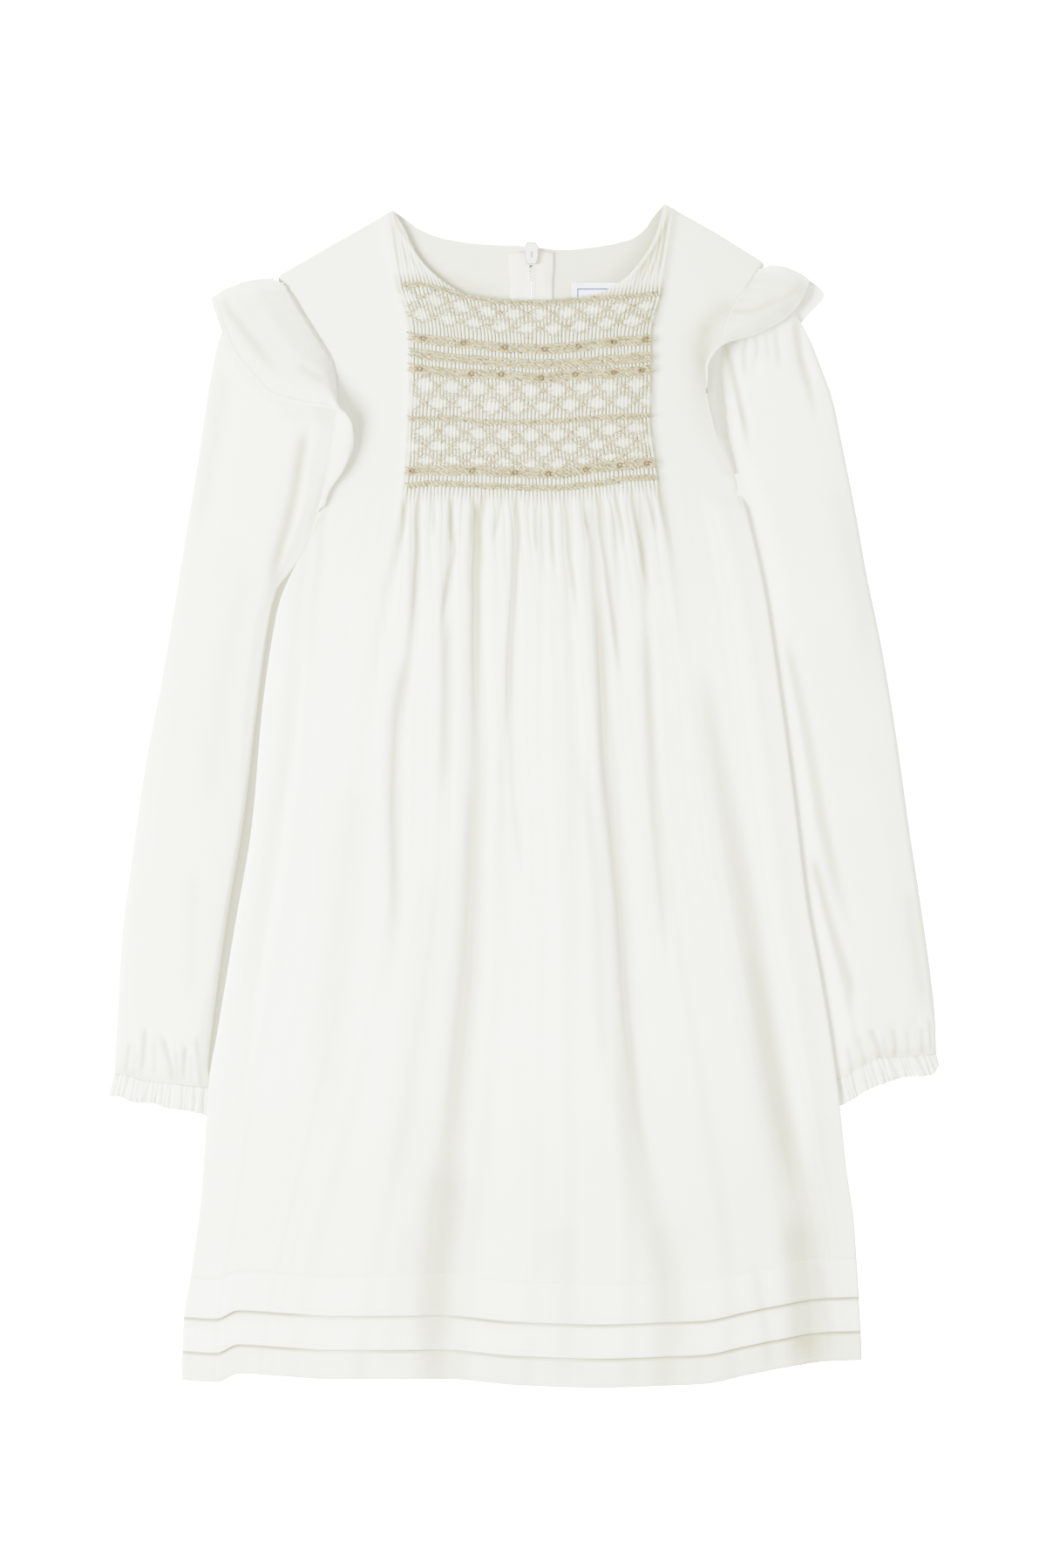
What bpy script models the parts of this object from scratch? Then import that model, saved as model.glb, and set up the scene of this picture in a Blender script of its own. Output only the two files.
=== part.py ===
"""Smock dress for a child of about six, laid flat on its back: long sleeves, a smocked chest, frilled armholes.

Sizes are in millimetres. X runs to the right of the laid dress, Y towards its neck, Z up from the surface.
The origin is on the surface, below the middle of the dress.
"""
import math

import bmesh
import bpy
import numpy as np

# Units and the cloth itself
MM = 0.001
WALL = 1.0
SEAM_GAP = 0.4

# Heights above the surface
BACK_TOP = 1.0
FRONT_FLAT_TOP = 2.4
SMOCK_UNDER = 2.7
SMOCK_TOP = 4.8
SLEEVE_TOP = 5.8
SLEEVE_SEAM_TOP = 2.5
SLEEVE_SEAM_GAP = 0.7
# The sleeves lie on the frills of the back above this height up the dress, and on the surface below it
SLEEVE_DOWN = 152.0

# Main lines of the front, as heights up the dress
SMOCK_HIGH = 264.0
SMOCK_LOW = 164.0
TUCK_STITCH = -252.0
TUCK_EDGES = (-273.0, -291.0)
HEM = -306.5
HEM_WAVE_START = -130.0

# Smocked chest: straight pleats, drawn together two by two in the honeycomb bands
PLEATS = 65
PLEAT_HEIGHT = 0.6
PLEAT_FADE = 16.0
NECK_FAN = 7.0

# How finely each part is divided. Flank columns are distances from the side edge and from the middle
FLANK_OUTER = (0.0, 12.0, 18.5, 25.0)
FLANK_INNER = 4.0
SKIRT_CELLS = 30
INSIDE_CELLS = 10
# Column of the middle, counted from either side, that follows the steep part of the neck on the inside too
NECK_COLUMN = 5
# Heights of the rows that the front, the back, the sleeves and the frills share along the armholes
ARMHOLE_ROWS = (
    264.0, 254.0, 243.0, 226.0, 212.0, 202.0, 192.0, 182.0, 164.5, 160.0, 150.0, 140.0, 130.5, 118.0, 105.0,
)

# Outline of the body. Each row: height up the dress, distance to the right
LEFT_EDGE = (
    (274.5, -129.5), (263.5, -122.5), (251.0, -115.0), (235.5, -105.5), (220.5, -99.5), (204.0, -99.0),
    (186.0, -101.5), (158.0, -106.5), (143.0, -111.5), (130.5, -116.5), (118.0, -122.5), (105.0, -128.0),
    (93.0, -131.0),
    (45.0, -138.0), (-12.0, -143.0), (-69.5, -152.5), (-126.5, -162.0), (-149.5, -166.0), (-207.0, -170.0),
    (-252.5, -176.0), (-274.5, -179.5), (-303.5, -180.5),
)
RIGHT_EDGE = (
    (281.5, 126.5), (265.5, 116.0), (255.5, 109.5), (238.5, 105.0), (222.5, 104.0), (211.0, 105.0),
    (195.0, 106.5), (179.5, 109.0), (169.5, 112.0), (149.0, 117.5), (130.5, 122.0), (106.5, 127.0),
    (57.0, 134.5), (-3.0, 142.5), (-56.0, 149.0), (-94.0, 156.0), (-126.5, 161.5), (-160.0, 166.0),
    (-199.5, 170.0), (-231.0, 174.0), (-262.0, 176.0), (-298.0, 178.0),
)
# Each row: distance to the right, height of the neck edge
FRONT_TOP_EDGE = (
    (-129.5, 274.5), (-99.0, 292.0), (-69.0, 309.0), (-63.5, 300.0), (-56.0, 285.0), (-47.5, 275.5),
    (-37.5, 268.0), (-27.5, 263.5), (-15.5, 261.5), (3.0, 261.0), (21.5, 261.5), (37.5, 264.5),
    (52.5, 272.5), (62.0, 283.0), (69.5, 296.0), (74.0, 312.5), (100.0, 298.0), (126.5, 281.5),
)
BACK_TOP_EDGE = (
    (-129.5, 274.5), (-99.0, 292.0), (-69.0, 309.0), (-65.0, 306.5), (-54.5, 299.0), (-42.5, 294.5),
    (-23.0, 291.5), (-3.0, 290.5), (21.5, 288.5), (37.5, 290.0), (56.0, 294.0), (63.5, 299.0),
    (68.5, 306.5), (74.0, 312.5), (100.0, 298.0), (126.5, 281.5),
)
NECK_TIPS = (-69.0, 74.0)
# Edges of the gathered middle of the front. Each row: height, left edge, right edge
MIDDLE = (
    (264.0, -66.0, 72.0), (242.0, -59.5, 67.0), (222.0, -59.5, 67.0), (199.0, -60.5, 66.5), (172.0, -62.0, 69.5),
    (160.0, -63.5, 71.0), (98.5, -66.0, 80.0), (29.5, -68.5, 87.5), (-51.0, -75.5, 98.5), (-160.0, -98.0, 122.0),
    (-251.0, -121.5, 141.0), (-308.5, -132.0, 144.0),
)
# How the smocked rows sag. Each row: distance to the right, sag of the top row, sag of the bottom row
SMOCK_SAG = (
    (-125.0, 0.0, 0.0), (-96.0, 0.0, 0.0), (-66.0, 4.5, -2.0), (-54.5, 4.5, -0.5), (-41.0, 1.5, -0.5), (-28.0, -2.5, -1.0),
    (-10.0, -4.5, -1.5), (10.5, -5.0, -2.5), (31.0, -3.5, -1.0), (50.5, -2.0, 2.5), (72.0, 0.0, 3.5),
    (100.0, 0.0, 0.0), (122.0, 0.0, 0.0),
)
# How the hem and its two tucks wave. Each row: distance to the right, rise
HEM_WAVE = (
    (-181.0, -1.0), (-162.0, -2.0), (-150.0, 2.5), (-125.0, 1.0), (-100.0, -0.5), (-40.0, -0.5), (-5.0, -3.5),
    (40.0, -5.0), (75.0, -4.0), (95.0, -3.0), (119.0, 2.0), (143.0, 6.5), (162.0, 9.0), (180.0, 9.5),
)

# Creases of the skirt, at six heights: where each runs, how deep it is (1 reaches the flat cloth), and
# its half width at the first height and at the last
CREASE_HEIGHTS = (160.0, 100.0, 20.0, -60.0, -160.0, -250.0)
CREASE_START = 24.0
CREASES = (
    ((-61, -74, -84, -90, -95, -100), (0.8, 0.6, 0.1, 0.0, 0.0, 0.0), 2.2, 5.0),
    ((-56, -57, -67, -68, -72, -76), (0.5, 0.7, 0.6, 0.3, 0.0, 0.0), 2.2, 6.0),
    ((-38, -40, -40, -39, -42, -44), (0.5, 0.6, 0.35, 0.1, 0.0, 0.0), 2.6, 7.0),
    ((-25, -25, -24, -26, -35, -46), (1.0, 0.9, 0.9, 0.9, 0.8, 0.6), 2.6, 11.0),
    ((-4, -5, -9, -12, -16, -20), (0.5, 0.5, 0.3, 0.1, 0.0, 0.0), 2.6, 7.0),
    ((10, 10, 8, 6, 4, 2), (0.6, 0.2, 0.0, 0.0, 0.0, 0.0), 2.2, 5.0),
    ((22, 24, 27, 28, 28, 28), (0.1, 0.4, 0.35, 0.15, 0.0, 0.0), 2.6, 6.0),
    ((34, 39, 45, 52, 56, 74), (0.8, 0.9, 0.8, 0.7, 0.7, 0.5), 2.6, 9.0),
    ((48, 50, 56, 62, 66, 70), (0.6, 0.3, 0.0, 0.0, 0.0, 0.0), 2.2, 5.0),
    ((62, 65, 68, 72, 78, 84), (0.7, 0.5, 0.35, 0.1, 0.0, 0.0), 2.6, 6.0),
    ((85, 92, 104, 119, 133, 152), (0.0, 0.0, 0.4, 0.7, 0.8, 0.6), 4.0, 10.0),
    ((-112, -119, -128, -140, -155, -160), (0.2, 0.5, 0.5, 0.5, 0.2, 0.0), 3.0, 7.0),
    ((-105, -110, -116, -120, -124, -128), (0.5, 0.4, 0.1, 0.0, 0.0, 0.0), 2.6, 5.0),
)
FOLD_HEIGHT = 2.3
SKIRT_ROWS = (
    160.0, 155.0, 150.0, 140.0, 130.5, 118.0, 105.0, 88.0, 68.0, 45.0, 20.0, -12.0, -45.0, -85.0, -126.5,
    -168.0, -186.5, -205.0, -235.0,
)

# Centre-back zip
ZIP_X = 3.9
ZIP_LOW = 30.0
ZIP_TAPE = 11.0
COIL_WIDTH = 2.0
COIL_RISE = 0.6
SLIDER_LOW = 279.0
SLIDER_HIGH = 291.0
SLIDER_HALF_GAP = 0.75
TAB_RISE = 1.3
TAB_LOW = 272.0
TAB_RAMP = 8.0

# Label inside the back of the neck: left, right, low and high edges
LABEL = (25.0, 57.0, 243.0, 271.0)

# The right side of the body lies on its sleeve
OVERLAP_LIFT = 2.9
OVERLAP_START = 164.5
OVERLAP_FULL = 150.0
OVERLAP_END = -168.0
OVERLAP_GONE = -205.0
OVERLAP_WIDE = 12.0
OVERLAP_RAMP = 13.0

# Sleeves, by side. The seams that a sleeve shares with the body come from the body's own outline
SLEEVES = {
    "left": {
        "turn": -1,
        "outer": (
            (-126.0, 268.0), (-137.0, 262.0), (-149.5, 254.5), (-159.0, 245.5), (-165.0, 221.5), (-172.0, 176.5),
            (-178.5, 137.0), (-190.5, 64.5), (-200.0, 14.5), (-207.0, -35.0), (-211.5, -69.5), (-215.5, -136.0),
            (-216.0, -146.0),
        ),
        "inner": (
            (-110.2, 150.0), (-115.8, 140.0), (-120.5, 130.5), (-126.0, 120.0), (-131.0, 110.0), (-135.5, 93.0),
            (-142.0, 45.0), (-149.5, -12.0), (-159.0, -69.5), (-166.0, -126.5),
            (-168.5, -153.5),
        ),
        "wrist": ((-216.0, -146.0), (-209.5, -146.5), (-202.0, -149.0), (-186.5, -151.0), (-168.5, -153.5)),
        "hem": (
            (-219.0, -157.5), (-213.0, -158.0), (-205.0, -161.0), (-195.0, -161.5), (-188.5, -164.0),
            (-176.0, -166.0), (-169.5, -168.0),
        ),
        "underarm": 150.0,
        "shoulder": 268.0,
    },
    "right": {
        "turn": 1,
        "outer": (
            (123.2, 275.0), (134.5, 266.5), (143.0, 254.5), (150.5, 241.5), (157.5, 224.0), (163.0, 208.5),
            (167.5, 187.5), (175.0, 150.0), (180.5, 119.0), (189.0, 77.5), (196.0, 35.5), (203.5, -18.0),
            (210.0, -61.5), (215.0, -98.0), (217.0, -118.5), (217.5, -135.5),
        ),
        "inner": (
            (117.9, 150.0), (121.0, 142.0), (123.2, 133.0), (124.4, 123.0), (125.0, 108.0), (126.0, 88.0),
            (129.0, 57.0), (135.0, -3.0), (141.5, -56.0), (148.5, -94.0),
            (154.0, -126.5), (158.5, -152.0),
        ),
        "wrist": (
            (217.5, -135.5), (209.0, -136.0), (201.0, -137.0), (187.0, -137.5), (178.0, -142.0), (168.5, -147.5),
            (158.5, -152.0),
        ),
        "hem": (
            (219.0, -141.5), (215.0, -146.5), (202.0, -147.5), (191.0, -150.5), (182.0, -154.0), (173.0, -159.5),
            (162.5, -165.0),
        ),
        "underarm": 150.0,
        "shoulder": 275.0,
    },
}
SLEEVE_ROWS = (0.0, 0.025, 0.055, 0.09, 0.14, 0.2, 0.28, 0.38, 0.5, 0.62, 0.74, 0.85, 0.93, 1.0)
# Places across a sleeve: upper and lower outer surface, upper and lower inner surface
SLEEVE_TOP_STEPS = (0.02, 0.06, 0.12, 0.2, 0.29, 0.38, 0.48, 0.58, 0.68, 0.77, 0.85, 0.92, 0.97)
SLEEVE_FLAT_STEPS = (0.02, 0.12, 0.29, 0.48, 0.68, 0.85, 0.97)
HOLLOW_TOP_STEPS = (0.08, 0.12, 0.2, 0.29, 0.38, 0.48, 0.58, 0.68, 0.77, 0.85, 0.92)
HOLLOW_FLAT_STEPS = (0.08, 0.2, 0.38, 0.58, 0.77, 0.92)
HOLLOW_ENDS = (0.045, 0.955)
UNDERARM_MARGIN = 0.12
ARMHOLE_BLEND = 0.32
# Soft folds of the sleeves. Each row: start point, end point, depth, half width
SLEEVE_FOLDS = {
    "left": (
        (-111.0, 194.0, -122.0, 152.0, 1.0, 6.0), (-122.0, 152.0, -129.5, 126.0, 1.2, 6.0),
        (-160.0, 225.0, -170.0, 120.0, 0.8, 7.0), (-200.0, -134.0, -197.0, -150.0, 1.0, 2.5),
        (-190.0, -128.0, -186.0, -150.0, 1.2, 2.5), (-177.0, -135.0, -180.0, -152.0, 1.0, 2.5),
    ),
    "right": (
        (138.0, 83.0, 158.0, -12.0, 1.2, 6.0), (158.0, -12.0, 176.0, -79.0, 1.0, 6.0),
        (152.0, -31.0, 173.0, -105.0, 1.4, 5.0), (173.0, -105.0, 178.0, -140.0, 1.0, 3.0),
        (109.0, 228.0, 116.0, 199.0, 1.4, 2.5), (117.0, 240.0, 121.0, 226.0, 1.0, 3.0),
        (145.0, 246.0, 149.0, 221.0, 1.4, 4.0), (195.0, -122.0, 193.0, -140.0, 1.0, 2.5),
        (206.0, -118.0, 207.0, -138.0, 1.0, 2.5),
    ),
}

# Elastic cuffs
CUFF_GATHERS = 18
CUFF_TOP = 3.7
CUFF_WAVE = 0.55
CUFF_ROWS = (0.08, 0.4, 0.7, 1.0)

# Frills of the armholes. Each row is one section across the frill: the height where it is sewn in, then
# right, up and height above the surface of its belly, its crest and its free edge
FRILLS = {
    "left": (
        (150.0, -108.4, 151.0, 4.7, -106.6, 152.0, 5.3, -104.8, 153.0, 5.3),
        (158.0, -105.5, 159.5, 5.6, -103.6, 160.5, 6.2, -102.4, 160.5, 6.0),
        (172.0, -99.5, 172.0, 7.0, -96.5, 172.5, 8.0, -94.8, 172.0, 7.8),
        (187.0, -97.0, 186.5, 8.0, -92.5, 186.5, 9.6, -89.6, 186.0, 9.2),
        (198.0, -97.0, 197.0, 8.6, -93.0, 196.0, 11.0, -90.2, 194.0, 11.0),
        (206.0, -98.0, 204.5, 9.0, -95.5, 202.0, 12.4, -92.5, 199.5, 13.0),
        (213.0, -99.5, 211.0, 9.4, -99.0, 207.0, 13.0, -97.5, 202.8, 13.6),
        (220.0, -102.0, 217.0, 9.6, -104.0, 211.0, 12.6, -105.0, 204.2, 12.2),
        (229.0, -108.0, 223.5, 9.4, -113.5, 214.0, 11.2, -117.0, 205.6, 9.6),
        (238.0, -118.0, 230.0, 8.8, -127.5, 220.0, 9.6, -134.0, 210.0, 7.2),
        (247.5, -128.0, 241.0, 8.2, -138.0, 230.0, 9.2, -143.5, 220.0, 6.9),
        (256.5, -135.0, 251.5, 7.6, -146.5, 240.5, 8.6, -153.0, 232.0, 6.6),
        (264.5, -140.0, 262.0, 6.8, -152.5, 254.0, 7.8, -159.5, 246.5, 6.2),
        (269.5, -141.5, 269.0, 6.4, -155.5, 264.5, 6.6, -163.8, 259.5, 5.2),
    ),
    "right": (
        (170.0, 110.6, 170.0, 5.3, 109.0, 170.0, 5.8, 107.6, 170.0, 5.8),
        (180.0, 107.5, 180.0, 6.2, 106.0, 179.8, 7.0, 104.8, 179.6, 7.2),
        (195.0, 103.0, 195.0, 7.2, 100.2, 195.5, 9.0, 99.0, 195.5, 9.8),
        (209.0, 101.0, 209.5, 8.0, 97.0, 211.0, 10.8, 96.2, 211.5, 12.4),
        (221.0, 100.0, 222.5, 8.8, 95.6, 224.5, 12.0, 96.4, 224.0, 14.2),
        (230.0, 101.0, 231.5, 9.2, 98.0, 233.0, 13.0, 99.6, 232.0, 15.2),
        (239.0, 105.5, 240.0, 9.4, 105.5, 240.5, 13.4, 108.0, 238.5, 14.6),
        (248.0, 113.0, 246.5, 9.2, 116.0, 245.5, 12.4, 119.5, 242.0, 11.6),
        (256.0, 120.0, 254.5, 8.6, 126.0, 252.0, 11.0, 130.0, 246.8, 8.8),
        (263.5, 126.0, 262.0, 7.8, 134.5, 258.5, 9.8, 139.0, 252.5, 7.4),
        (271.0, 131.5, 270.0, 7.0, 141.0, 265.5, 8.6, 145.5, 260.5, 6.6),
        (276.5, 135.5, 276.0, 6.0, 144.5, 272.5, 6.6, 149.5, 269.0, 5.2),
    ),
}
# The frill turns over beside the shoulder and runs down the back armhole, flat on the surface.
# Where it is sewn in beside the shoulder
FRILL_TURN = {"left": (-132.1, 272.9), "right": (129.1, 279.9)}
FRILL_TURN_HEIGHTS = (4.2, 2.2)
FRILL_TURN_OUT = 3.0
# Each row: share of the way down the back, width of the frill
FRILL_BACK = ((0.0, 36.0), (0.2, 33.0), (0.4, 28.0), (0.6, 21.0), (0.8, 13.0), (1.0, 4.0))
FRILL_BACK_LENGTH = 105.0
FRILL_BACK_SECTIONS = 10
FRILL_BACK_OFFSET = 1.3
FRILL_SPREAD = (0.0, 0.42, 0.78, 1.0)
FRILL_LEAN = (0.93, -0.36)
FRILL_COLUMNS = 7

# Colours
CLOTH_COLOUR = (0.87, 0.87, 0.82, 1.0)
BACK_COLOUR = (0.83, 0.83, 0.78, 1.0)
ZIP_COLOUR = (0.88, 0.88, 0.85, 1.0)
METAL_COLOUR = (0.80, 0.81, 0.79, 1.0)
LABEL_COLOUR = (0.86, 0.88, 0.93, 1.0)


def ease(share):
    """Soft step from 0 to 1."""
    share = np.clip(share, 0.0, 1.0)
    return share * share * (3.0 - 2.0 * share)


def line(keys, values, at):
    """Value at `at` of the smooth line through the given points. It never swings past them."""
    order = np.argsort(keys)
    keys = np.asarray(keys, float)[order]
    values = np.asarray(values, float)[order]
    steps = np.diff(keys)
    slopes = np.diff(values) / steps
    product = slopes[:-1] * slopes[1:]
    total = slopes[:-1] + slopes[1:]
    inner = np.where(product > 0.0, 2.0 * product / np.where(product > 0.0, total, 1.0), 0.0)
    tangents = np.concatenate(([slopes[0]], inner, [slopes[-1]]))
    at = np.clip(at, keys[0], keys[-1])
    index = np.clip(np.searchsorted(keys, at) - 1, 0, len(steps) - 1)
    share = (at - keys[index]) / steps[index]
    rest = 1.0 - share
    start = values[index] * (1.0 + 2.0 * share) + tangents[index] * steps[index] * share
    end = values[index + 1] * (3.0 - 2.0 * share) - tangents[index + 1] * steps[index] * rest
    return rest * rest * start + share * share * end


def column(table, key, value, at):
    """Smooth value from one column of a table, looked up by another."""
    return line([row[key] for row in table], [row[value] for row in table], at)


def point_along(points, share):
    """Point at a share of the length of a line through (right, up) points."""
    points = np.asarray(points, float)
    lengths = np.concatenate(([0.0], np.cumsum(np.linalg.norm(np.diff(points, axis=0), axis=1))))
    at = share * lengths[-1]
    return np.array([line(lengths, points[:, 0], at), line(lengths, points[:, 1], at)])


def left_edge(y):
    return column(LEFT_EDGE, 0, 1, y)


def right_edge(y):
    return column(RIGHT_EDGE, 0, 1, y)


def overlap_lift(x, y):
    """How far the right side of the body is raised by the sleeve beneath it."""
    inward = right_edge(y) - x
    across = 1.0 - ease((inward - OVERLAP_WIDE) / OVERLAP_RAMP)
    along = ease((OVERLAP_START - y) / (OVERLAP_START - OVERLAP_FULL))
    along = along * (1.0 - ease((OVERLAP_END - y) / (OVERLAP_END - OVERLAP_GONE)))
    return OVERLAP_LIFT * across * along


def tab_lift(x, y):
    """How far the back is raised by the zip's pull tab beneath it."""
    across = 1.0 - ease((abs(x - ZIP_X) - 5.5) / 8.5)
    return TAB_RISE * across * ease((y - TAB_LOW + TAB_RAMP) / TAB_RAMP)


def back_under(x, y):
    return overlap_lift(x, y) + tab_lift(x, y)


def zip_clearance(x, y):
    """How far the front is raised by the zip between the two layers."""
    along = ease((y - ZIP_LOW + 25.0) / 20.0)
    aside = abs(x - ZIP_X)
    tape = 1.3 * (1.0 - ease((aside - ZIP_TAPE - 1.0) / 8.0))
    coil = 0.6 * (1.0 - ease((aside - COIL_WIDTH - 1.0) / 4.0))
    return (tape + coil) * along


def front_bottom_limit(x, y):
    """Lowest place for the inside of the front, just clear of the layer beneath."""
    return BACK_TOP + SEAM_GAP + zip_clearance(x, y) + overlap_lift(x, y)


def crease_depth(x, y):
    """Depth of the skirt's creases at a point, 1 where one reaches the flat cloth."""
    depth = 0.0
    for path, depths, wide_top, wide_low in CREASES:
        middle = line(CREASE_HEIGHTS, path, y)
        share = (CREASE_HEIGHTS[0] - y) / (CREASE_HEIGHTS[0] - CREASE_HEIGHTS[-1])
        wide = wide_top + (wide_low - wide_top) * min(max(share, 0.0), 1.0)
        depth += line(CREASE_HEIGHTS, depths, y) * math.exp(-(((x - middle) / wide) ** 2))
    return min(depth, 1.0) * ease((SMOCK_LOW - y) / CREASE_START)


def front_top(x, y):
    """Height of the front's outer surface, before the smocked pleats and the tucks."""
    left = column(MIDDLE, 0, 1, y)
    right = column(MIDDLE, 0, 2, y)
    inside = ease((x - left + 4.0) / 4.0) * ease((right - x + 4.0) / 4.0)
    if y > SMOCK_LOW:
        fold = (SMOCK_TOP - FRONT_FLAT_TOP) * inside
    else:
        side = ease((x - left_edge(y)) / 22.0) * ease((right_edge(y) - x) / 22.0)
        flank = side * ease((SMOCK_LOW - y) / 120.0)
        raised = max(inside, flank) * (1.0 - 0.45 * ease((-y) / 250.0))
        fold = FOLD_HEIGHT * raised * (1.0 - crease_depth(x, y))
    height = FRONT_FLAT_TOP + overlap_lift(x, y) + fold
    return max(height, front_bottom_limit(x, y) + WALL)


def front_under(x, y):
    """Height of the front's plain inner surface."""
    if y > SMOCK_LOW:
        left = column(MIDDLE, 0, 1, y)
        right = column(MIDDLE, 0, 2, y)
        inside = ease((x - left + 1.0) / 4.0) * ease((right - x + 1.0) / 4.0)
        plain = BACK_TOP + SEAM_GAP + (SMOCK_UNDER - BACK_TOP - SEAM_GAP) * inside + overlap_lift(x, y)
        return max(plain, front_bottom_limit(x, y))
    return front_top(x, y) - WALL


def sag(x, y):
    """How far a level row of the front bends at a point: the neck's dip, then the hem's wave."""
    top = column(SMOCK_SAG, 0, 1, x)
    low = column(SMOCK_SAG, 0, 2, x)
    share = min(max((SMOCK_HIGH - y) / (SMOCK_HIGH - SMOCK_LOW), 0.0), 1.0)
    chest = (top + (low - top) * share) * (1.0 - ease((SMOCK_LOW - y) / 90.0))
    hem = column(HEM_WAVE, 0, 1, x) * ease((HEM_WAVE_START - y) / (HEM_WAVE_START - TUCK_EDGES[0]))
    return chest + hem


def level_row(y, cells):
    """Plan of one row of the front, as (place across, right, up) from its left edge to its right."""
    left, right = left_edge(y), right_edge(y)
    middle_left, middle_right = column(MIDDLE, 0, 1, y), column(MIDDLE, 0, 2, y)
    flank = len(FLANK_OUTER) + 1
    places = [(index / flank, left + out) for index, out in enumerate(FLANK_OUTER)]
    places.append(((flank - 1) / flank, middle_left - FLANK_INNER))
    for cell in range(cells + 1):
        share = cell / cells
        places.append((1.0 + share, middle_left + (middle_right - middle_left) * share))
    places.append((2.0 + 1.0 / flank, middle_right + FLANK_INNER))
    for index in reversed(range(len(FLANK_OUTER))):
        places.append((3.0 - index / flank, right - FLANK_OUTER[index]))
    return [(place, x, y + sag(x, y)) for place, x in places]


def top_row(cells):
    """Plan of the front's top edge: left shoulder, neck and right shoulder."""
    row = []
    first = level_row(SMOCK_HIGH, cells)
    for place, x, _ in first:
        aside = (x - 3.0) / 69.0
        fanned = x + NECK_FAN * aside * abs(aside) ** 1.2
        if place < 1.0:
            share = (x - first[0][1]) / (MIDDLE[0][1] - first[0][1])
            fanned = FRONT_TOP_EDGE[0][0] + (MIDDLE[0][1] - NECK_FAN - FRONT_TOP_EDGE[0][0]) * share
        if place > 2.0:
            share = (x - first[-1][1]) / (MIDDLE[0][2] - first[-1][1])
            fanned = FRONT_TOP_EDGE[-1][0] + (MIDDLE[0][2] + NECK_FAN - FRONT_TOP_EDGE[-1][0]) * share
        row.append([place, fanned])
    for tip in NECK_TIPS:
        nearest = min(row, key=lambda entry: abs(entry[1] - tip))
        nearest[1] = tip
    keys = [point[0] for point in FRONT_TOP_EDGE]
    heights = [point[1] for point in FRONT_TOP_EDGE]
    return [(place, x, float(np.interp(x, keys, heights))) for place, x in row]


def between_rows(upper, lower, share):
    """Plan of a row part of the way from one row to the next."""
    return [
        (a[0], a[1] + (b[1] - a[1]) * share, a[2] + (b[2] - a[2]) * share) for a, b in zip(upper, lower)
    ]


def pleat_rise(index, height):
    """Rise of one pleat line: a ridge on each odd line, a groove on each even one."""
    return height if index % 2 else -height


def honeycomb_shift(index, row, pitch):
    """Sideways pull of a pleat towards its neighbour, turn about from row to row."""
    pleat = index // 2
    return pitch * 0.22 * (1 if (pleat + row) % 2 else -1)


def add_row(mesh, points):
    """Vertices for (place, right, up, height) points, kept with their places."""
    return [(place, mesh.verts.new((x * MM, y * MM, z * MM))) for place, x, y, z in points]


def fill_strip(mesh, first, second):
    """Faces between two rows of vertices, which may have different counts."""
    i = j = 0
    while i < len(first) - 1 or j < len(second) - 1:
        step_first = first[i + 1][0] if i < len(first) - 1 else math.inf
        step_second = second[j + 1][0] if j < len(second) - 1 else math.inf
        corners = [first[i][1], second[j][1]]
        if step_second <= step_first + 1e-6:
            j += 1
            corners.append(second[j][1])
        if step_first <= step_second + 1e-6:
            i += 1
            corners.append(first[i][1])
        if len(set(corners)) > 2:
            mesh.faces.new(corners)


def fill_rows(mesh, rows):
    for first, second in zip(rows, rows[1:]):
        fill_strip(mesh, first, second)


def side_line(rows, end):
    """The first or last vertices of the rows, with their shares of the way down as places."""
    count = len(rows) - 1
    return [(index / count, row[end][1]) for index, row in enumerate(rows)]


def material(name, colour, roughness, metallic=0.0):
    made = bpy.data.materials.new(name)
    made.use_nodes = True
    shader = made.node_tree.nodes["Principled BSDF"]
    shader.inputs["Base Color"].default_value = colour
    shader.inputs["Roughness"].default_value = roughness
    shader.inputs["Metallic"].default_value = metallic
    return made


def add_object(name, mesh, surface, flat_angle=40.0):
    """Closes the bmesh into a named object with its own material."""
    mesh.normal_update()
    bmesh.ops.triangulate(mesh, faces=[face for face in mesh.faces if len(face.verts) > 4], ngon_method="EAR_CLIP")
    bmesh.ops.recalc_face_normals(mesh, faces=mesh.faces)
    data = bpy.data.meshes.new(name)
    mesh.to_mesh(data)
    mesh.free()
    data.shade_smooth()
    data.set_sharp_from_angle(angle=math.radians(flat_angle))
    data.materials.append(surface)
    made = bpy.data.objects.new(name, data)
    bpy.context.scene.collection.objects.link(made)
    return made


def smocked_rows():
    """Outer rows of the neck and the smocked chest, with their heights."""
    cells = 2 * PLEATS
    top = top_row(cells)
    first = level_row(SMOCK_HIGH, cells)
    plans = [(top, 0.5, -1), (between_rows(top, first, 0.5), 0.7, -1), (first, 1.0, -1)]
    # Each row: height up the dress, and the turn of the honeycomb there, or -1 where the pleats run straight
    for y, turn in ((254.0, 0), (243.0, 1), (226.0, -1), (212.0, 0), (202.0, 1), (192.0, 0), (182.0, 1)):
        plans.append((level_row(y, cells), 1.0, turn))
    plans.append((level_row(SMOCK_LOW + 0.5, cells), 1.0, -1))
    rows = []
    for plan, height, turn in plans:
        first_middle = len(FLANK_OUTER) + 1
        pitch = (plan[first_middle + cells][1] - plan[first_middle][1]) / PLEATS
        points = []
        for place, x, y in plan:
            z = front_top(x, max(y, SMOCK_LOW + 0.1))
            if 1.0 < place < 2.0:
                index = round((place - 1.0) * cells)
                shift = honeycomb_shift(index, turn, pitch) if turn >= 0 else 0.0
                x += shift
                z = SMOCK_TOP + pleat_rise(index, PLEAT_HEIGHT * height)
            points.append((place, x, y, z))
        rows.append(points)
    return rows


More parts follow.
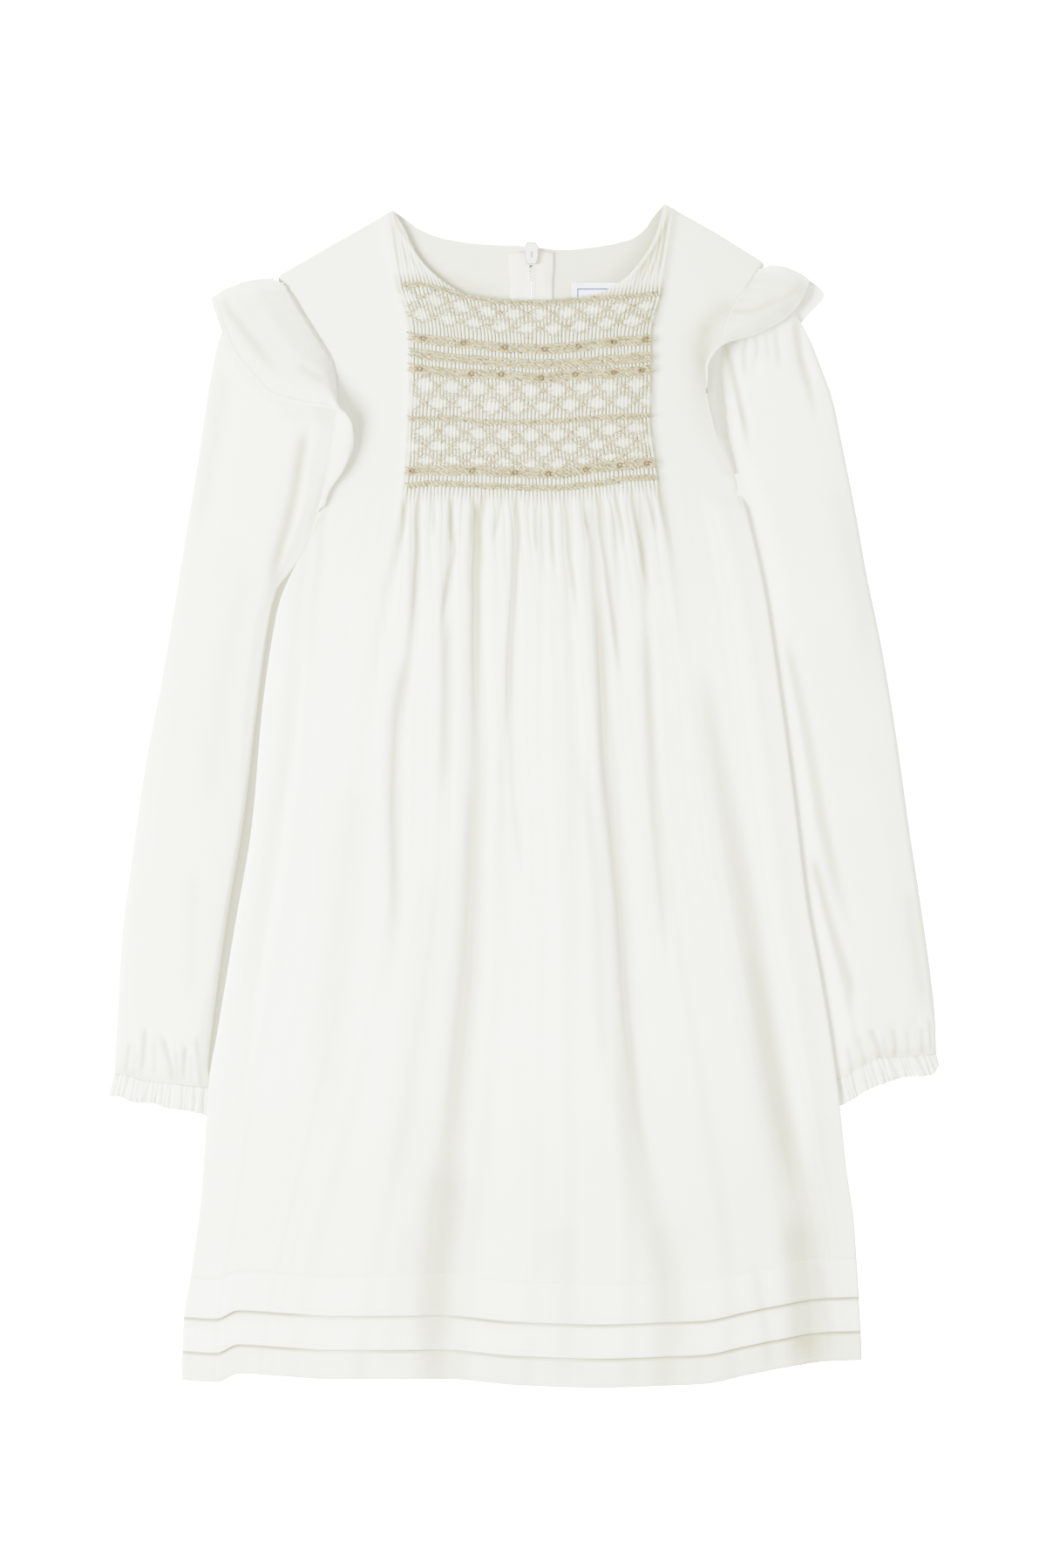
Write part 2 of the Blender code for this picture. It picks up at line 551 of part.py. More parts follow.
def skirt_rows():
    """Outer rows of the skirt above the tucks."""
    rows = []
    for y in SKIRT_ROWS:
        fine = SMOCK_LOW - y < PLEAT_FADE * 0.6
        cells = 2 * PLEATS if fine else SKIRT_CELLS
        points = []
        for place, x, up in level_row(y, cells):
            z = front_top(x, y)
            if fine and 1.0 < place < 2.0:
                fade = PLEAT_HEIGHT * (1.0 - (SMOCK_LOW - y) / PLEAT_FADE)
                z = max(z + pleat_rise(round((place - 1.0) * cells), fade), front_under(x, y) + WALL * 0.6)
            points.append((place, x, up, z))
        rows.append(points)
    return rows


def straight_ends(rows):
    """Moves the ends of the rows onto a straight line from the first row to the last."""
    first, last = rows[0], rows[-1]
    moved = []
    for row in rows:
        row = list(row)
        for end in (0, -1):
            place, _, up, height = row[end]
            share = (up - first[end][2]) / (last[end][2] - first[end][2])
            row[end] = (place, first[end][1] + (last[end][1] - first[end][1]) * share, up, height)
        moved.append(row)
    return moved


def tuck_rows():
    """Outer rows of the two tucks and the hem. Each tuck is a flap that stands clear of the next layer."""
    # Each row: height up the dress, rise above the plain skirt
    first, second = TUCK_EDGES
    sections = (
        (TUCK_STITCH, 0.3), (TUCK_STITCH - 7.0, 1.0), (first + 1.0, 1.7), (first, 1.3), (first + 0.8, 0.95),
        (first + 4.0, 0.95), (first + 4.0, 0.35), (first - 7.0, 0.8), (second + 1.0, 1.5), (second, 1.15),
        (second + 0.8, 0.85), (second + 4.0, 0.85), (second + 4.0, 0.3), (HEM + 0.8, 0.5), (HEM, 0.1),
    )
    rows = []
    for y, rise in sections:
        rows.append([(place, x, up, front_top(x, y) + rise) for place, x, up in level_row(y, SKIRT_CELLS)])
    return straight_ends(rows)


def end_line(rows, end):
    """The first or last vertices of the rows, with their distances down the dress as places."""
    return [(-row[end][1].co.y, row[end][1]) for row in rows]


def make_front():
    """The front, cut in one: smocked chest over a plain inside, gathered skirt, two tucks and a hem."""
    mesh = bmesh.new()
    cells = 2 * PLEATS
    chest = [add_row(mesh, row) for row in smocked_rows()]
    skirt = [add_row(mesh, row) for row in skirt_rows()]
    tucks = [add_row(mesh, row) for row in tuck_rows()]
    outer = chest + skirt + tucks
    fill_rows(mesh, outer)

    first_middle = len(FLANK_OUTER) + 1
    kept = set(range(first_middle + 1)) | set(range(first_middle + cells, 2 * first_middle + cells + 1))
    kept |= {first_middle + round(cells * step / INSIDE_CELLS) for step in range(INSIDE_CELLS)}
    kept |= {first_middle + NECK_COLUMN, first_middle + cells - NECK_COLUMN}
    inner_chest = [[(p, x, y, front_under(x, SMOCK_HIGH)) for p, x, y in top_row(cells)]]
    for y in (SMOCK_HIGH, 254.0, 243.0, 226.0, 212.0, 202.0, 192.0, 182.0, SMOCK_LOW + 0.5):
        points = [entry for index, entry in enumerate(level_row(y, cells)) if index in kept]
        inner_chest.append([(p, x, up, front_under(x, y)) for p, x, up in points])
    inner_skirt = []
    for y in SKIRT_ROWS:
        inner_skirt.append([(p, x, up, front_under(x, y)) for p, x, up in level_row(y, SKIRT_CELLS)])
    inner_tucks = []
    for y in (TUCK_STITCH, TUCK_EDGES[0], TUCK_EDGES[1], HEM):
        inner_tucks.append([(p, x, up, front_under(x, y)) for p, x, up in level_row(y, SKIRT_CELLS)])
    inner_chest = [add_row(mesh, row) for row in inner_chest]
    inner_skirt = [add_row(mesh, row) for row in inner_skirt]
    inner_tucks = [add_row(mesh, row) for row in straight_ends(inner_tucks)]
    inner = inner_chest + inner_skirt + inner_tucks
    fill_rows(mesh, inner)

    # The cut edges: top and hem, the sides down to the tucks, then one flat face across the ends of the tucks
    fill_strip(mesh, outer[0], inner[0])
    fill_strip(mesh, outer[-1], inner[-1])
    for end in (0, -1):
        outer_side = end_line(chest + skirt + tucks[:1], end)
        inner_side = end_line(inner_chest + inner_skirt + inner_tucks[:1], end)
        fill_strip(mesh, outer_side, inner_side)
        rim = [row[end][1] for row in tucks]
        rim += [row[end][1] for row in reversed(inner_tucks)]
        mesh.faces.new(rim)
    return add_object("front", mesh, material("front_cloth", CLOTH_COLOUR, 0.85))


def zip_half_gap(y):
    """Half the gap along the centre back: wider where the slider's neck passes through."""
    return 0.15 + (SLIDER_HALF_GAP - 0.15) * ease((y - SLIDER_LOW + 6.0) / 4.0)


def make_back(side):
    """One half of the back, flat on the surface, from the centre-back zip to the side seam."""
    mesh = bmesh.new()
    turn = -1 if side == "left" else 1
    outer_edge = left_edge if side == "left" else right_edge
    tip = NECK_TIPS[0] if side == "left" else NECK_TIPS[1]
    # Columns near the centre and near the side are at fixed distances, those between at shares of what is left
    near_centre = (0.0, 5.0, 9.0, 13.5)
    near_side = tuple(reversed(FLANK_OUTER))
    between = (0.35, 0.75)

    def columns(centre, edge):
        places = [centre + turn * out for out in near_centre]
        inner, outer = places[-1], edge - turn * near_side[0]
        places += [inner + (outer - inner) * share for share in between]
        places += [edge - turn * out for out in near_side]
        return list(enumerate(places))

    shoulder = BACK_TOP_EDGE[0] if side == "left" else BACK_TOP_EDGE[-1]
    keys = [point[0] for point in BACK_TOP_EDGE]
    heights = [point[1] for point in BACK_TOP_EDGE]
    start_x = ZIP_X + turn * SLIDER_HALF_GAP
    top = [[step, x] for step, x in columns(start_x, shoulder[0])]
    nearest = min(top, key=lambda entry: abs(entry[1] - tip))
    nearest[1] = tip
    top = [(step, x, float(np.interp(x, keys, heights))) for step, x in top]
    levels = (TAB_LOW,) + ARMHOLE_ROWS + (68.0, 20.0, -45.0, -126.5, OVERLAP_END, -186.5, OVERLAP_GONE, -252.5, HEM)
    plans = [top]
    for y in levels:
        row = []
        for step, x in columns(ZIP_X + turn * zip_half_gap(y), outer_edge(y)):
            row.append((step, x, y + sag(x, min(y, SMOCK_LOW - 90.0))))
        plans.append(row)
    for share in (0.55, 0.16):
        plans.insert(1, between_rows(top, plans[-len(levels)], share))
    low = [add_row(mesh, [(s, x, y, back_under(x, y)) for s, x, y in row]) for row in plans]
    high = [add_row(mesh, [(s, x, y, back_under(x, y) + BACK_TOP) for s, x, y in row]) for row in plans]
    fill_rows(mesh, low)
    fill_rows(mesh, high)
    fill_strip(mesh, low[0], high[0])
    fill_strip(mesh, low[-1], high[-1])
    for end in (0, -1):
        fill_strip(mesh, side_line(low, end), side_line(high, end))
    return add_object("back_" + side, mesh, material("back_cloth_" + side, BACK_COLOUR, 0.85))


def armhole_curve(side, share):
    """Point on a side's armhole seam, from the shoulder (0) to the underarm (1)."""
    shape = SLEEVES[side]
    turn = shape["turn"]
    edge = left_edge if side == "left" else right_edge
    points = [shape["outer"][0]]
    heights = [y for y in ARMHOLE_ROWS if shape["underarm"] + 1.0 < y < shape["shoulder"] - 1.0]
    for above, y, below in zip([shape["shoulder"]] + heights, heights, heights[1:] + [shape["underarm"]]):
        along = np.array([edge(below) - edge(above), below - above])
        along /= np.linalg.norm(along)
        points.append((edge(y) - turn * along[1] * SLEEVE_SEAM_GAP, y + turn * along[0] * SLEEVE_SEAM_GAP))
    points.append(shape["inner"][0])
    points = np.array(points)
    lengths = np.concatenate(([0.0], np.cumsum(np.linalg.norm(np.diff(points, axis=0), axis=1))))
    at = share * lengths[-1]
    return np.array([np.interp(at, lengths, points[:, 0]), np.interp(at, lengths, points[:, 1])])


def sleeve_plan(side, across, down):
    """Plan of a sleeve: straight from its outer edge to its inner one, but curved at the armhole and the wrist."""
    shape = SLEEVES[side]
    outer, inner = point_along(shape["outer"], down), point_along(shape["inner"], down)
    plan = outer + (inner - outer) * across
    for curve, start, end, weight in (
        (armhole_curve(side, across), shape["outer"][0], shape["inner"][0], 1.0 - ease(down / ARMHOLE_BLEND)),
        (point_along(shape["wrist"], across), shape["wrist"][0], shape["wrist"][-1], ease((down - 0.9) / 0.1)),
    ):
        chord = np.array(start) + (np.array(end) - np.array(start)) * across
        plan = plan + (curve - chord) * weight
    return plan


def distance_to_segment(x, y, row):
    """Distance to a fold's line, and the share of the way along it."""
    ax, ay, bx, by = row[:4]
    length = (bx - ax) ** 2 + (by - ay) ** 2
    share = min(max(((x - ax) * (bx - ax) + (y - ay) * (by - ay)) / length, 0.0), 1.0)
    return math.hypot(x - ax - (bx - ax) * share, y - ay - (by - ay) * share), share


def sleeve_floor(y, down):
    """Underside of a sleeve: on the surface, or on the frill of the back armhole."""
    return (WALL + 1.5 * SEAM_GAP) * (1.0 - ease((down - 0.16) / 0.1)) * ease((y - SLEEVE_DOWN) / 12.0)


def seam_top(y):
    """Height of a sleeve's upper surface where it meets the body."""
    return SLEEVE_SEAM_TOP + (WALL + 1.5 * SEAM_GAP) * ease((y - SLEEVE_DOWN) / 12.0)


def sleeve_top(side, x, y, across, down):
    """Height of a sleeve's upper surface: low along the body, and thin where the body lies on it."""
    edge = left_edge(y) if side == "left" else right_edge(y)
    outward = (x - edge) * SLEEVES[side]["turn"]
    round_off = (1.0 - abs(2.0 * across - 1.0) ** 3.0) ** 0.5
    floor = sleeve_floor(y, down)
    height = floor + 2.6 + (SLEEVE_TOP - floor - 2.6) * round_off
    for row in SLEEVE_FOLDS[side]:
        away, _ = distance_to_segment(x, y, row)
        height -= row[4] * math.exp(-((away / row[5]) ** 2))
    low = seam_top(y)
    height = min(height, low + (SLEEVE_TOP - low) * ease((outward - 1.0) / 12.0))
    height = height + (min(CUFF_TOP, height) - height) * ease((down - 0.93) / 0.07)
    return max(height, floor + 2.4)


def sleeve_rings(side, down):
    """Outer and inner ring of one section of a sleeve, as (place, right, up, height)."""
    def at(across, height):
        x, y = sleeve_plan(side, across, down)
        return x, y, height(x, y)

    def floor(x, y):
        return sleeve_floor(y, down)

    outer, inner = [], []
    outer.append((0.0, *at(0.0, lambda x, y: floor(x, y) + 1.2)))
    for across in SLEEVE_TOP_STEPS:
        outer.append((across, *at(across, lambda x, y: sleeve_top(side, x, y, across, down))))
    outer.append((1.0, *at(1.0, lambda x, y: floor(x, y) + 1.2)))
    for across in reversed(SLEEVE_FLAT_STEPS):
        outer.append((2.0 - across, *at(across, floor)))
    # The hollow ends well short of the underarm, where the armhole and the sleeve's own edge run almost in line
    first, last = HOLLOW_ENDS
    narrowing = 1.0 - UNDERARM_MARGIN * (1.0 - ease(down / 0.25)) / (last - first)

    def narrowed(across):
        return first + (across - first) * narrowing

    inner.append((first, *at(first, lambda x, y: floor(x, y) + 1.2)))
    for across in map(narrowed, HOLLOW_TOP_STEPS):
        inner.append((across, *at(across, lambda x, y: sleeve_top(side, x, y, across, down) - WALL)))
    inner.append((narrowed(last), *at(narrowed(last), lambda x, y: floor(x, y) + 1.2)))
    for across in map(narrowed, reversed(HOLLOW_FLAT_STEPS)):
        inner.append((2.0 - across, *at(across, lambda x, y: floor(x, y) + WALL)))
    return outer, inner


def close_ring(ring, turn_place):
    return ring + [(ring[0][0] + turn_place, ring[0][1])]


def fill_tube(mesh, outer, inner):
    """Closed wall between outer and inner rings, with an open hollow through it."""
    outer = [close_ring(ring, 2.0) for ring in outer]
    inner = [close_ring(ring, 2.0) for ring in inner]
    fill_rows(mesh, outer)
    fill_rows(mesh, inner)
    fill_strip(mesh, outer[0], inner[0])
    fill_strip(mesh, outer[-1], inner[-1])


def make_sleeve(side):
    """A long sleeve, pressed flat, open at the armhole and the wrist."""
    mesh = bmesh.new()
    outer, inner = [], []
    for down in SLEEVE_ROWS:
        outer_ring, inner_ring = sleeve_rings(side, down)
        outer.append(add_row(mesh, outer_ring))
        inner.append(add_row(mesh, inner_ring))
    fill_tube(mesh, outer, inner)
    return add_object("sleeve_" + side, mesh, material("sleeve_cloth_" + side, CLOTH_COLOUR, 0.85))


def make_cuff(side):
    """An elastic cuff, pressed flat: tight gathers over a plain inside."""
    mesh = bmesh.new()
    shape = SLEEVES[side]
    outer, inner = [], []
    cells = 2 * CUFF_GATHERS
    for down in CUFF_ROWS:
        def at(across):
            top = point_along(shape["wrist"], across)
            low = point_along(shape["hem"], across)
            return top + (low - top) * down

        def limit(x, y):
            edge = left_edge(y) if side == "left" else right_edge(y)
            return SLEEVE_SEAM_TOP + 3.0 * ease(((x - edge) * shape["turn"] - 1.0) / 7.0)

        hollow = CUFF_TOP - 2.0 * WALL
        ring = [(0.0, *at(0.0), CUFF_TOP * 0.45)]
        for cell in range(1, cells):
            across = cell / cells
            x, y = at(across)
            rounding = (1.0 - abs(2.0 * across - 1.0) ** 6.0) ** 0.5
            wave = CUFF_WAVE * (1.0 if cell % 2 else -1.0) * rounding
            ring.append((across, x, y, min(2.7 + (CUFF_TOP - 2.7) * rounding + wave, limit(x, y))))
        ring.append((1.0, *at(1.0), CUFF_TOP * 0.45))
        for across in reversed(SLEEVE_FLAT_STEPS):
            ring.append((2.0 - across, *at(across), 0.0))
        outer.append(add_row(mesh, ring))
        ring = [(0.06, *at(0.06), WALL + 0.4)]
        at_end = down in (CUFF_ROWS[0], CUFF_ROWS[-1])
        tops = [cell / cells for cell in range(4, cells - 3)] if at_end else (0.12, 0.3, 0.5, 0.7, 0.88)
        for across in tops:
            x, y = at(across)
            ring.append((across, x, y, min(WALL + hollow * 0.55, limit(x, y) - WALL)))
        ring.append((0.94, *at(0.94), WALL + 0.4))
        for across in (0.91, 0.85, 0.68, 0.48, 0.29, 0.15, 0.09):
            ring.append((2.0 - across, *at(across), WALL))
        inner.append(add_row(mesh, ring))
    fill_tube(mesh, outer, inner)
    return add_object("cuff_" + side, mesh, material("cuff_cloth_" + side, CLOTH_COLOUR, 0.85))


def frill_sections(side):
    """Sections of a frill from its front end, over the shoulder, to its back end: lists of 3-D points."""
    edge = left_edge if side == "left" else right_edge
    turn = SLEEVES[side]["turn"]
    front = []
    for row in FRILLS[side]:
        sewn = (edge(row[0]) + turn * 0.6, row[0], seam_top(row[0]) + SEAM_GAP + WALL * 0.5)
        front.append([sewn, row[1:4], row[4:7], row[7:10]])
    turned = []
    for z in FRILL_TURN_HEIGHTS:
        row = [(point[0] + turn * 0.8, point[1] + FRILL_TURN_OUT, z) for point in front[-1]]
        row[0] = (*FRILL_TURN[side], z)
        turned.append(row)
    back = []
    for section in range(FRILL_BACK_SECTIONS):
        share = section / (FRILL_BACK_SECTIONS - 1)
        y = SLEEVES[side]["shoulder"] + 2.5 - share * FRILL_BACK_LENGTH
        wide = column(FRILL_BACK, 0, 1, share)
        seam = edge(y) + turn * FRILL_BACK_OFFSET
        back.append([
            (seam + turn * FRILL_LEAN[0] * wide * out, y + FRILL_LEAN[1] * wide * out, WALL * 0.5)
            for out in FRILL_SPREAD
        ])
    return np.array(front + turned + back, float)


def smooth_sections(sections, row_at, columns):
    """Points of the smooth surface through a grid of points, at the given rows."""
    row_keys = np.arange(sections.shape[0], dtype=float)
    column_keys = np.arange(sections.shape[1], dtype=float)
    column_at = np.linspace(0.0, column_keys[-1], columns)
    across = np.empty((sections.shape[0], columns, 3))
    for row in range(sections.shape[0]):
        for axis in range(3):
            across[row, :, axis] = line(column_keys, sections[row, :, axis], column_at)
    result = np.empty((len(row_at), columns, 3))
    for position in range(columns):
        for axis in range(3):
            result[:, position, axis] = line(row_keys, across[:, position, axis], row_at)
    return result


def sheet_normals(grid):
    """Unit normals of a grid of points."""
    down = np.gradient(grid, axis=0)
    across = np.gradient(grid, axis=1)
    normals = np.cross(down, across)
    lengths = np.linalg.norm(normals, axis=2, keepdims=True)
    return normals / np.maximum(lengths, 1e-9)


def make_frill(side):
    """The frill of one armhole, sewn in with the sleeve and folded over the shoulder."""
    mesh = bmesh.new()
    sections = frill_sections(side)
    turned = len(FRILLS[side])
    # Twice as many rows where the frill swings upright and where it turns over
    row_at = list(range(3)) + list(np.arange(3.0, 9.0, 0.5)) + list(range(9, turned - 1))
    row_at += list(np.arange(turned - 1.0, turned + 2.0, 0.5)) + list(range(turned + 2, len(sections)))
    grid = smooth_sections(sections, row_at, FRILL_COLUMNS)
    normals = sheet_normals(grid)
    sides = []
    for direction in (1.0, -1.0):
        points = grid + normals * WALL * 0.5 * direction
        points[:, :, 2] = np.maximum(points[:, :, 2], 0.0)
        rows = []
        for row in points:
            rows.append(add_row(mesh, [(index, *point) for index, point in enumerate(row)]))
        fill_rows(mesh, rows)
        sides.append(rows)
    upper, lower = sides
    fill_strip(mesh, upper[0], lower[0])
    fill_strip(mesh, upper[-1], lower[-1])
    for end in (0, -1):
        fill_strip(mesh, side_line(upper, end), side_line(lower, end))
    return add_object("frill_" + side, mesh, material("frill_cloth_" + side, CLOTH_COLOUR, 0.85))


def make_zip_half(side):
    """One half of the zip: a woven tape on the inside of the back, with its coil along the centre."""
    mesh = bmesh.new()
    turn = -1 if side == "left" else 1
    # Each row: distance from the centre edge, rise of the upper surface above the tape's underside
    section = ((0.0, WALL + COIL_RISE * 0.5), (0.5, WALL + COIL_RISE), (1.3, WALL + COIL_RISE), (COIL_WIDTH, WALL),
               (5.0, WALL), (9.0, WALL), (ZIP_TAPE, WALL))
    levels = (287.0, 279.0, TAB_LOW, TAB_LOW - TAB_RAMP, 243.0, 182.0, 105.0, ZIP_LOW)
    high, low = [], []
    for y in levels:
        start = ZIP_X + turn * (zip_half_gap(y) + 0.05)
        base = BACK_TOP + 0.3
        high.append(add_row(mesh, [
            (out, start + turn * out, y, base + rise + back_under(start + turn * out, y)) for out, rise in section
        ]))
        low.append(add_row(mesh, [
            (out, start + turn * out, y, base + back_under(start + turn * out, y)) for out, _ in section
        ]))
    fill_rows(mesh, high)
    fill_rows(mesh, low)
    fill_strip(mesh, high[0], low[0])
    fill_strip(mesh, high[-1], low[-1])
    for end in (0, -1):
        fill_strip(mesh, side_line(high, end), side_line(low, end))
    return add_object("zip_tape_" + side, mesh, material("zip_tape_cloth_" + side, ZIP_COLOUR, 0.8))


def extrude_outline(mesh, outline, bottom, top):
    """Adds a solid plate of the given outline between two heights and returns its upper face."""
    base = [mesh.verts.new((x * MM, y * MM, bottom * MM)) for x, y in outline]
    face = mesh.faces.new(base)
    made = bmesh.ops.extrude_face_region(mesh, geom=[face])
    raised = [item for item in made["geom"] if isinstance(item, bmesh.types.BMVert)]
    bmesh.ops.translate(mesh, vec=(0.0, 0.0, (top - bottom) * MM), verts=raised)
    return [item for item in made["geom"] if isinstance(item, bmesh.types.BMFace)][0]


def make_slider():
    """The zip's slider: a shield inside, a neck through the slit, and a flat pull tab outside."""
    neck_half, neck_low, neck_high = 0.4, 281.0, 288.0
    shield = ((-4.0, 289.5), (-2.2, 292.0), (2.2, 292.0), (4.0, 289.5), (3.7, 284.0), (2.6, 280.0), (-2.6, 280.0),
              (-3.7, 284.0))
    tab = ((-1.6, 289.0), (1.6, 289.0), (2.0, 284.0), (3.0, TAB_LOW + 3.0), (1.8, TAB_LOW), (-1.8, TAB_LOW), (-3.0, TAB_LOW + 3.0),
           (-2.0, 284.0))
    shield_bottom = BACK_TOP + TAB_RISE + 0.3 + WALL + COIL_RISE + 0.35
    outlines = (
        (shield, shield_bottom, shield_bottom + 1.3),
        (((-neck_half, neck_low), (neck_half, neck_low), (neck_half, neck_high), (-neck_half, neck_high)),
         0.5, shield_bottom + 0.5),
        (tab, 0.0, 1.0),
    )
    pieces = []
    for index, (outline, bottom, top) in enumerate(outlines):
        piece = bmesh.new()
        upper = extrude_outline(piece, [(ZIP_X + x, y) for x, y in outline], bottom, top)
        if index == 0:
            bmesh.ops.bevel(piece, geom=list(upper.edges), offset=0.4 * MM, offset_type="OFFSET", segments=1,
                            profile=0.5, affect="EDGES", material=-1)
        bmesh.ops.recalc_face_normals(piece, faces=piece.faces)
        data = bpy.data.meshes.new("slider_piece")
        piece.to_mesh(data)
        piece.free()
        made = bpy.data.objects.new("slider_piece_%d" % index, data)
        bpy.context.scene.collection.objects.link(made)
        pieces.append(made)
    slider = pieces[0]
    slider.name = "zip_slider"
    slider.data.name = "zip_slider"
    for cutter in pieces[1:]:
        cutter.hide_render = True
        cutter.display_type = "WIRE"
        union = slider.modifiers.new("join_" + cutter.name, "BOOLEAN")
        union.operation = "UNION"
        union.solver = "EXACT"
        union.object = cutter
    slider.data.materials.append(material("zip_metal", METAL_COLOUR, 0.35, 0.6))
    return slider


def make_label():
    """A blank woven label on the inside of the back, below the neck."""
    left, right, low, high = LABEL
    mesh = bmesh.new()
    base = BACK_TOP + 0.3
    extrude_outline(mesh, ((left, low), (right, low), (right, high), (left, high)), base, base + WALL)
    return add_object("neck_label", mesh, material("label_cloth", LABEL_COLOUR, 0.7))


def main():
    for item in list(bpy.data.objects):
        bpy.data.objects.remove(item, do_unlink=True)
    for side in ("left", "right"):
        make_back(side)
        make_sleeve(side)
        make_cuff(side)
        make_frill(side)
        make_zip_half(side)
    make_front()
    make_slider()
    make_label()


main()
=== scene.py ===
"""Looks of the smock dress: cloth, smocking, sewing, zip and label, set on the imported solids.

Sizes are in millimetres and become metres when a mesh is made. The camera looks straight down.
"""
import math

import bmesh
import bpy
import numpy as np
from mathutils import Matrix, Vector


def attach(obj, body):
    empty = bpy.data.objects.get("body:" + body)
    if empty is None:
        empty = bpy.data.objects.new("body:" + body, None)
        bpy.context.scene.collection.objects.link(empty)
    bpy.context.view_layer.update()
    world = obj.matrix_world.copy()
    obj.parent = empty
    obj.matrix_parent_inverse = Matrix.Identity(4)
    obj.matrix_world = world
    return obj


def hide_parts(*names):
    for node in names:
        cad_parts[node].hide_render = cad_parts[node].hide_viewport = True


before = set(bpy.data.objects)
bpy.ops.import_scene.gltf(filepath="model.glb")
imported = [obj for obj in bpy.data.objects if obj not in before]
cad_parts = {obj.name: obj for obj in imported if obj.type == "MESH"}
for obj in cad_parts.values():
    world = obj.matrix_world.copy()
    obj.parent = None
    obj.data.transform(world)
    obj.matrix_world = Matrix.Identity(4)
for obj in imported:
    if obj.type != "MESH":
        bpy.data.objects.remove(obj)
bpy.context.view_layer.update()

MM = 0.001

# The photograph: millimetres for one of its pixels, and the pixel that lies over the origin
PIXEL = 0.46
PIXEL_X, PIXEL_Y = 601.0, 914.0

# Heights and main lines, as the solids have them
WALL = 1.0
SIDES = ("left", "right")
TURNS = {"left": -1, "right": 1}
SEAM_GAP = 0.4
BACK_TOP = 1.0
FRONT_FLAT_TOP = 2.4
SMOCK_TOP = 4.8
SLEEVE_TOP = 5.8
SLEEVE_SEAM_TOP = 2.5
SLEEVE_SEAM_GAP = -0.9
SLEEVE_DOWN = 152.0
UNDERARM = 150.0
SMOCK_HIGH = 264.0
SMOCK_LOW = 164.0
TUCK_STITCH = -252.0
TUCK_EDGES = (-273.0, -291.0)
HEM = -306.5
HEM_WAVE_START = -130.0
PLEATS = 65
NECK_FAN = 7.0
ARMHOLE_ROWS = (
    264.0, 254.0, 243.0, 226.0, 212.0, 202.0, 192.0, 182.0, 164.5, 160.0, 150.0, 140.0, 130.5, 118.0, 105.0,
)
# Outline of the body. Each row: height up the dress, distance to the right
LEFT_EDGE = (
    (274.5, -129.5), (263.5, -122.5), (251.0, -115.0), (235.5, -105.5), (220.5, -99.5), (204.0, -99.0),
    (186.0, -101.5), (158.0, -106.5), (143.0, -111.5), (130.5, -116.5), (118.0, -122.5), (105.0, -128.0),
    (93.0, -131.0), (45.0, -138.0), (-12.0, -143.0), (-69.5, -152.5), (-126.5, -162.0), (-149.5, -166.0),
    (-207.0, -170.0), (-252.5, -176.0), (-274.5, -179.5), (-303.5, -180.5),
)
RIGHT_EDGE = (
    (281.5, 126.5), (265.5, 116.0), (255.5, 109.5), (238.5, 105.0), (222.5, 104.0), (211.0, 105.0),
    (195.0, 106.5), (179.5, 109.0), (169.5, 112.0), (149.0, 117.5), (130.5, 122.0), (106.5, 127.0),
    (57.0, 134.5), (-3.0, 142.5), (-56.0, 149.0), (-94.0, 156.0), (-126.5, 161.5), (-160.0, 166.0),
    (-199.5, 170.0), (-231.0, 174.0), (-262.0, 176.0), (-298.0, 178.0),
)
# Each row: distance to the right, height of the neck edge
FRONT_TOP_EDGE = (
    (-129.5, 274.5), (-99.0, 292.0), (-69.0, 309.0), (-63.5, 300.0), (-56.0, 285.0), (-47.5, 275.5),
    (-37.5, 268.0), (-27.5, 263.5), (-15.5, 261.5), (3.0, 261.0), (21.5, 261.5), (37.5, 264.5),
    (52.5, 272.5), (62.0, 283.0), (69.5, 296.0), (74.0, 312.5), (100.0, 298.0), (126.5, 281.5),
)
BACK_TOP_EDGE = (
    (-129.5, 274.5), (-99.0, 292.0), (-69.0, 309.0), (-65.0, 306.5), (-54.5, 299.0), (-42.5, 294.5),
    (-23.0, 291.5), (-3.0, 290.5), (21.5, 288.5), (37.5, 290.0), (56.0, 294.0), (63.5, 299.0),
    (68.5, 306.5), (74.0, 312.5), (100.0, 298.0), (126.5, 281.5),
)
NECK_TIPS = (-69.0, 74.0)
# Edges of the gathered middle of the front. Each row: height, left edge, right edge
MIDDLE = (
    (264.0, -66.0, 72.0), (242.0, -59.5, 67.0), (222.0, -59.5, 67.0), (199.0, -60.5, 66.5),
    (172.0, -62.0, 69.5), (160.0, -63.5, 71.0), (98.5, -66.0, 80.0), (29.5, -68.5, 87.5),
    (-51.0, -75.5, 98.5), (-160.0, -98.0, 122.0), (-251.0, -121.5, 141.0), (-308.5, -132.0, 144.0),
)
# How the smocked rows sag. Each row: distance to the right, sag of the top row, sag of the bottom row
SMOCK_SAG = (
    (-125.0, 0.0, 0.0), (-96.0, 0.0, 0.0), (-66.0, 4.5, -2.0), (-54.5, 4.5, -0.5), (-41.0, 1.5, -0.5),
    (-28.0, -2.5, -1.0), (-10.0, -4.5, -1.5), (10.5, -5.0, -2.5), (31.0, -3.5, -1.0), (50.5, -2.0, 2.5),
    (72.0, 0.0, 3.5), (100.0, 0.0, 0.0), (122.0, 0.0, 0.0),
)
# How the hem and its two tucks wave. Each row: distance to the right, rise
HEM_WAVE = (
    (-181.0, -1.0), (-162.0, -2.0), (-150.0, 2.5), (-125.0, 1.0), (-100.0, -0.5), (-40.0, -0.5),
    (-5.0, -3.5), (40.0, -5.0), (75.0, -4.0), (95.0, -3.0), (119.0, 2.0), (143.0, 6.5), (162.0, 9.0),
    (180.0, 9.5),
)

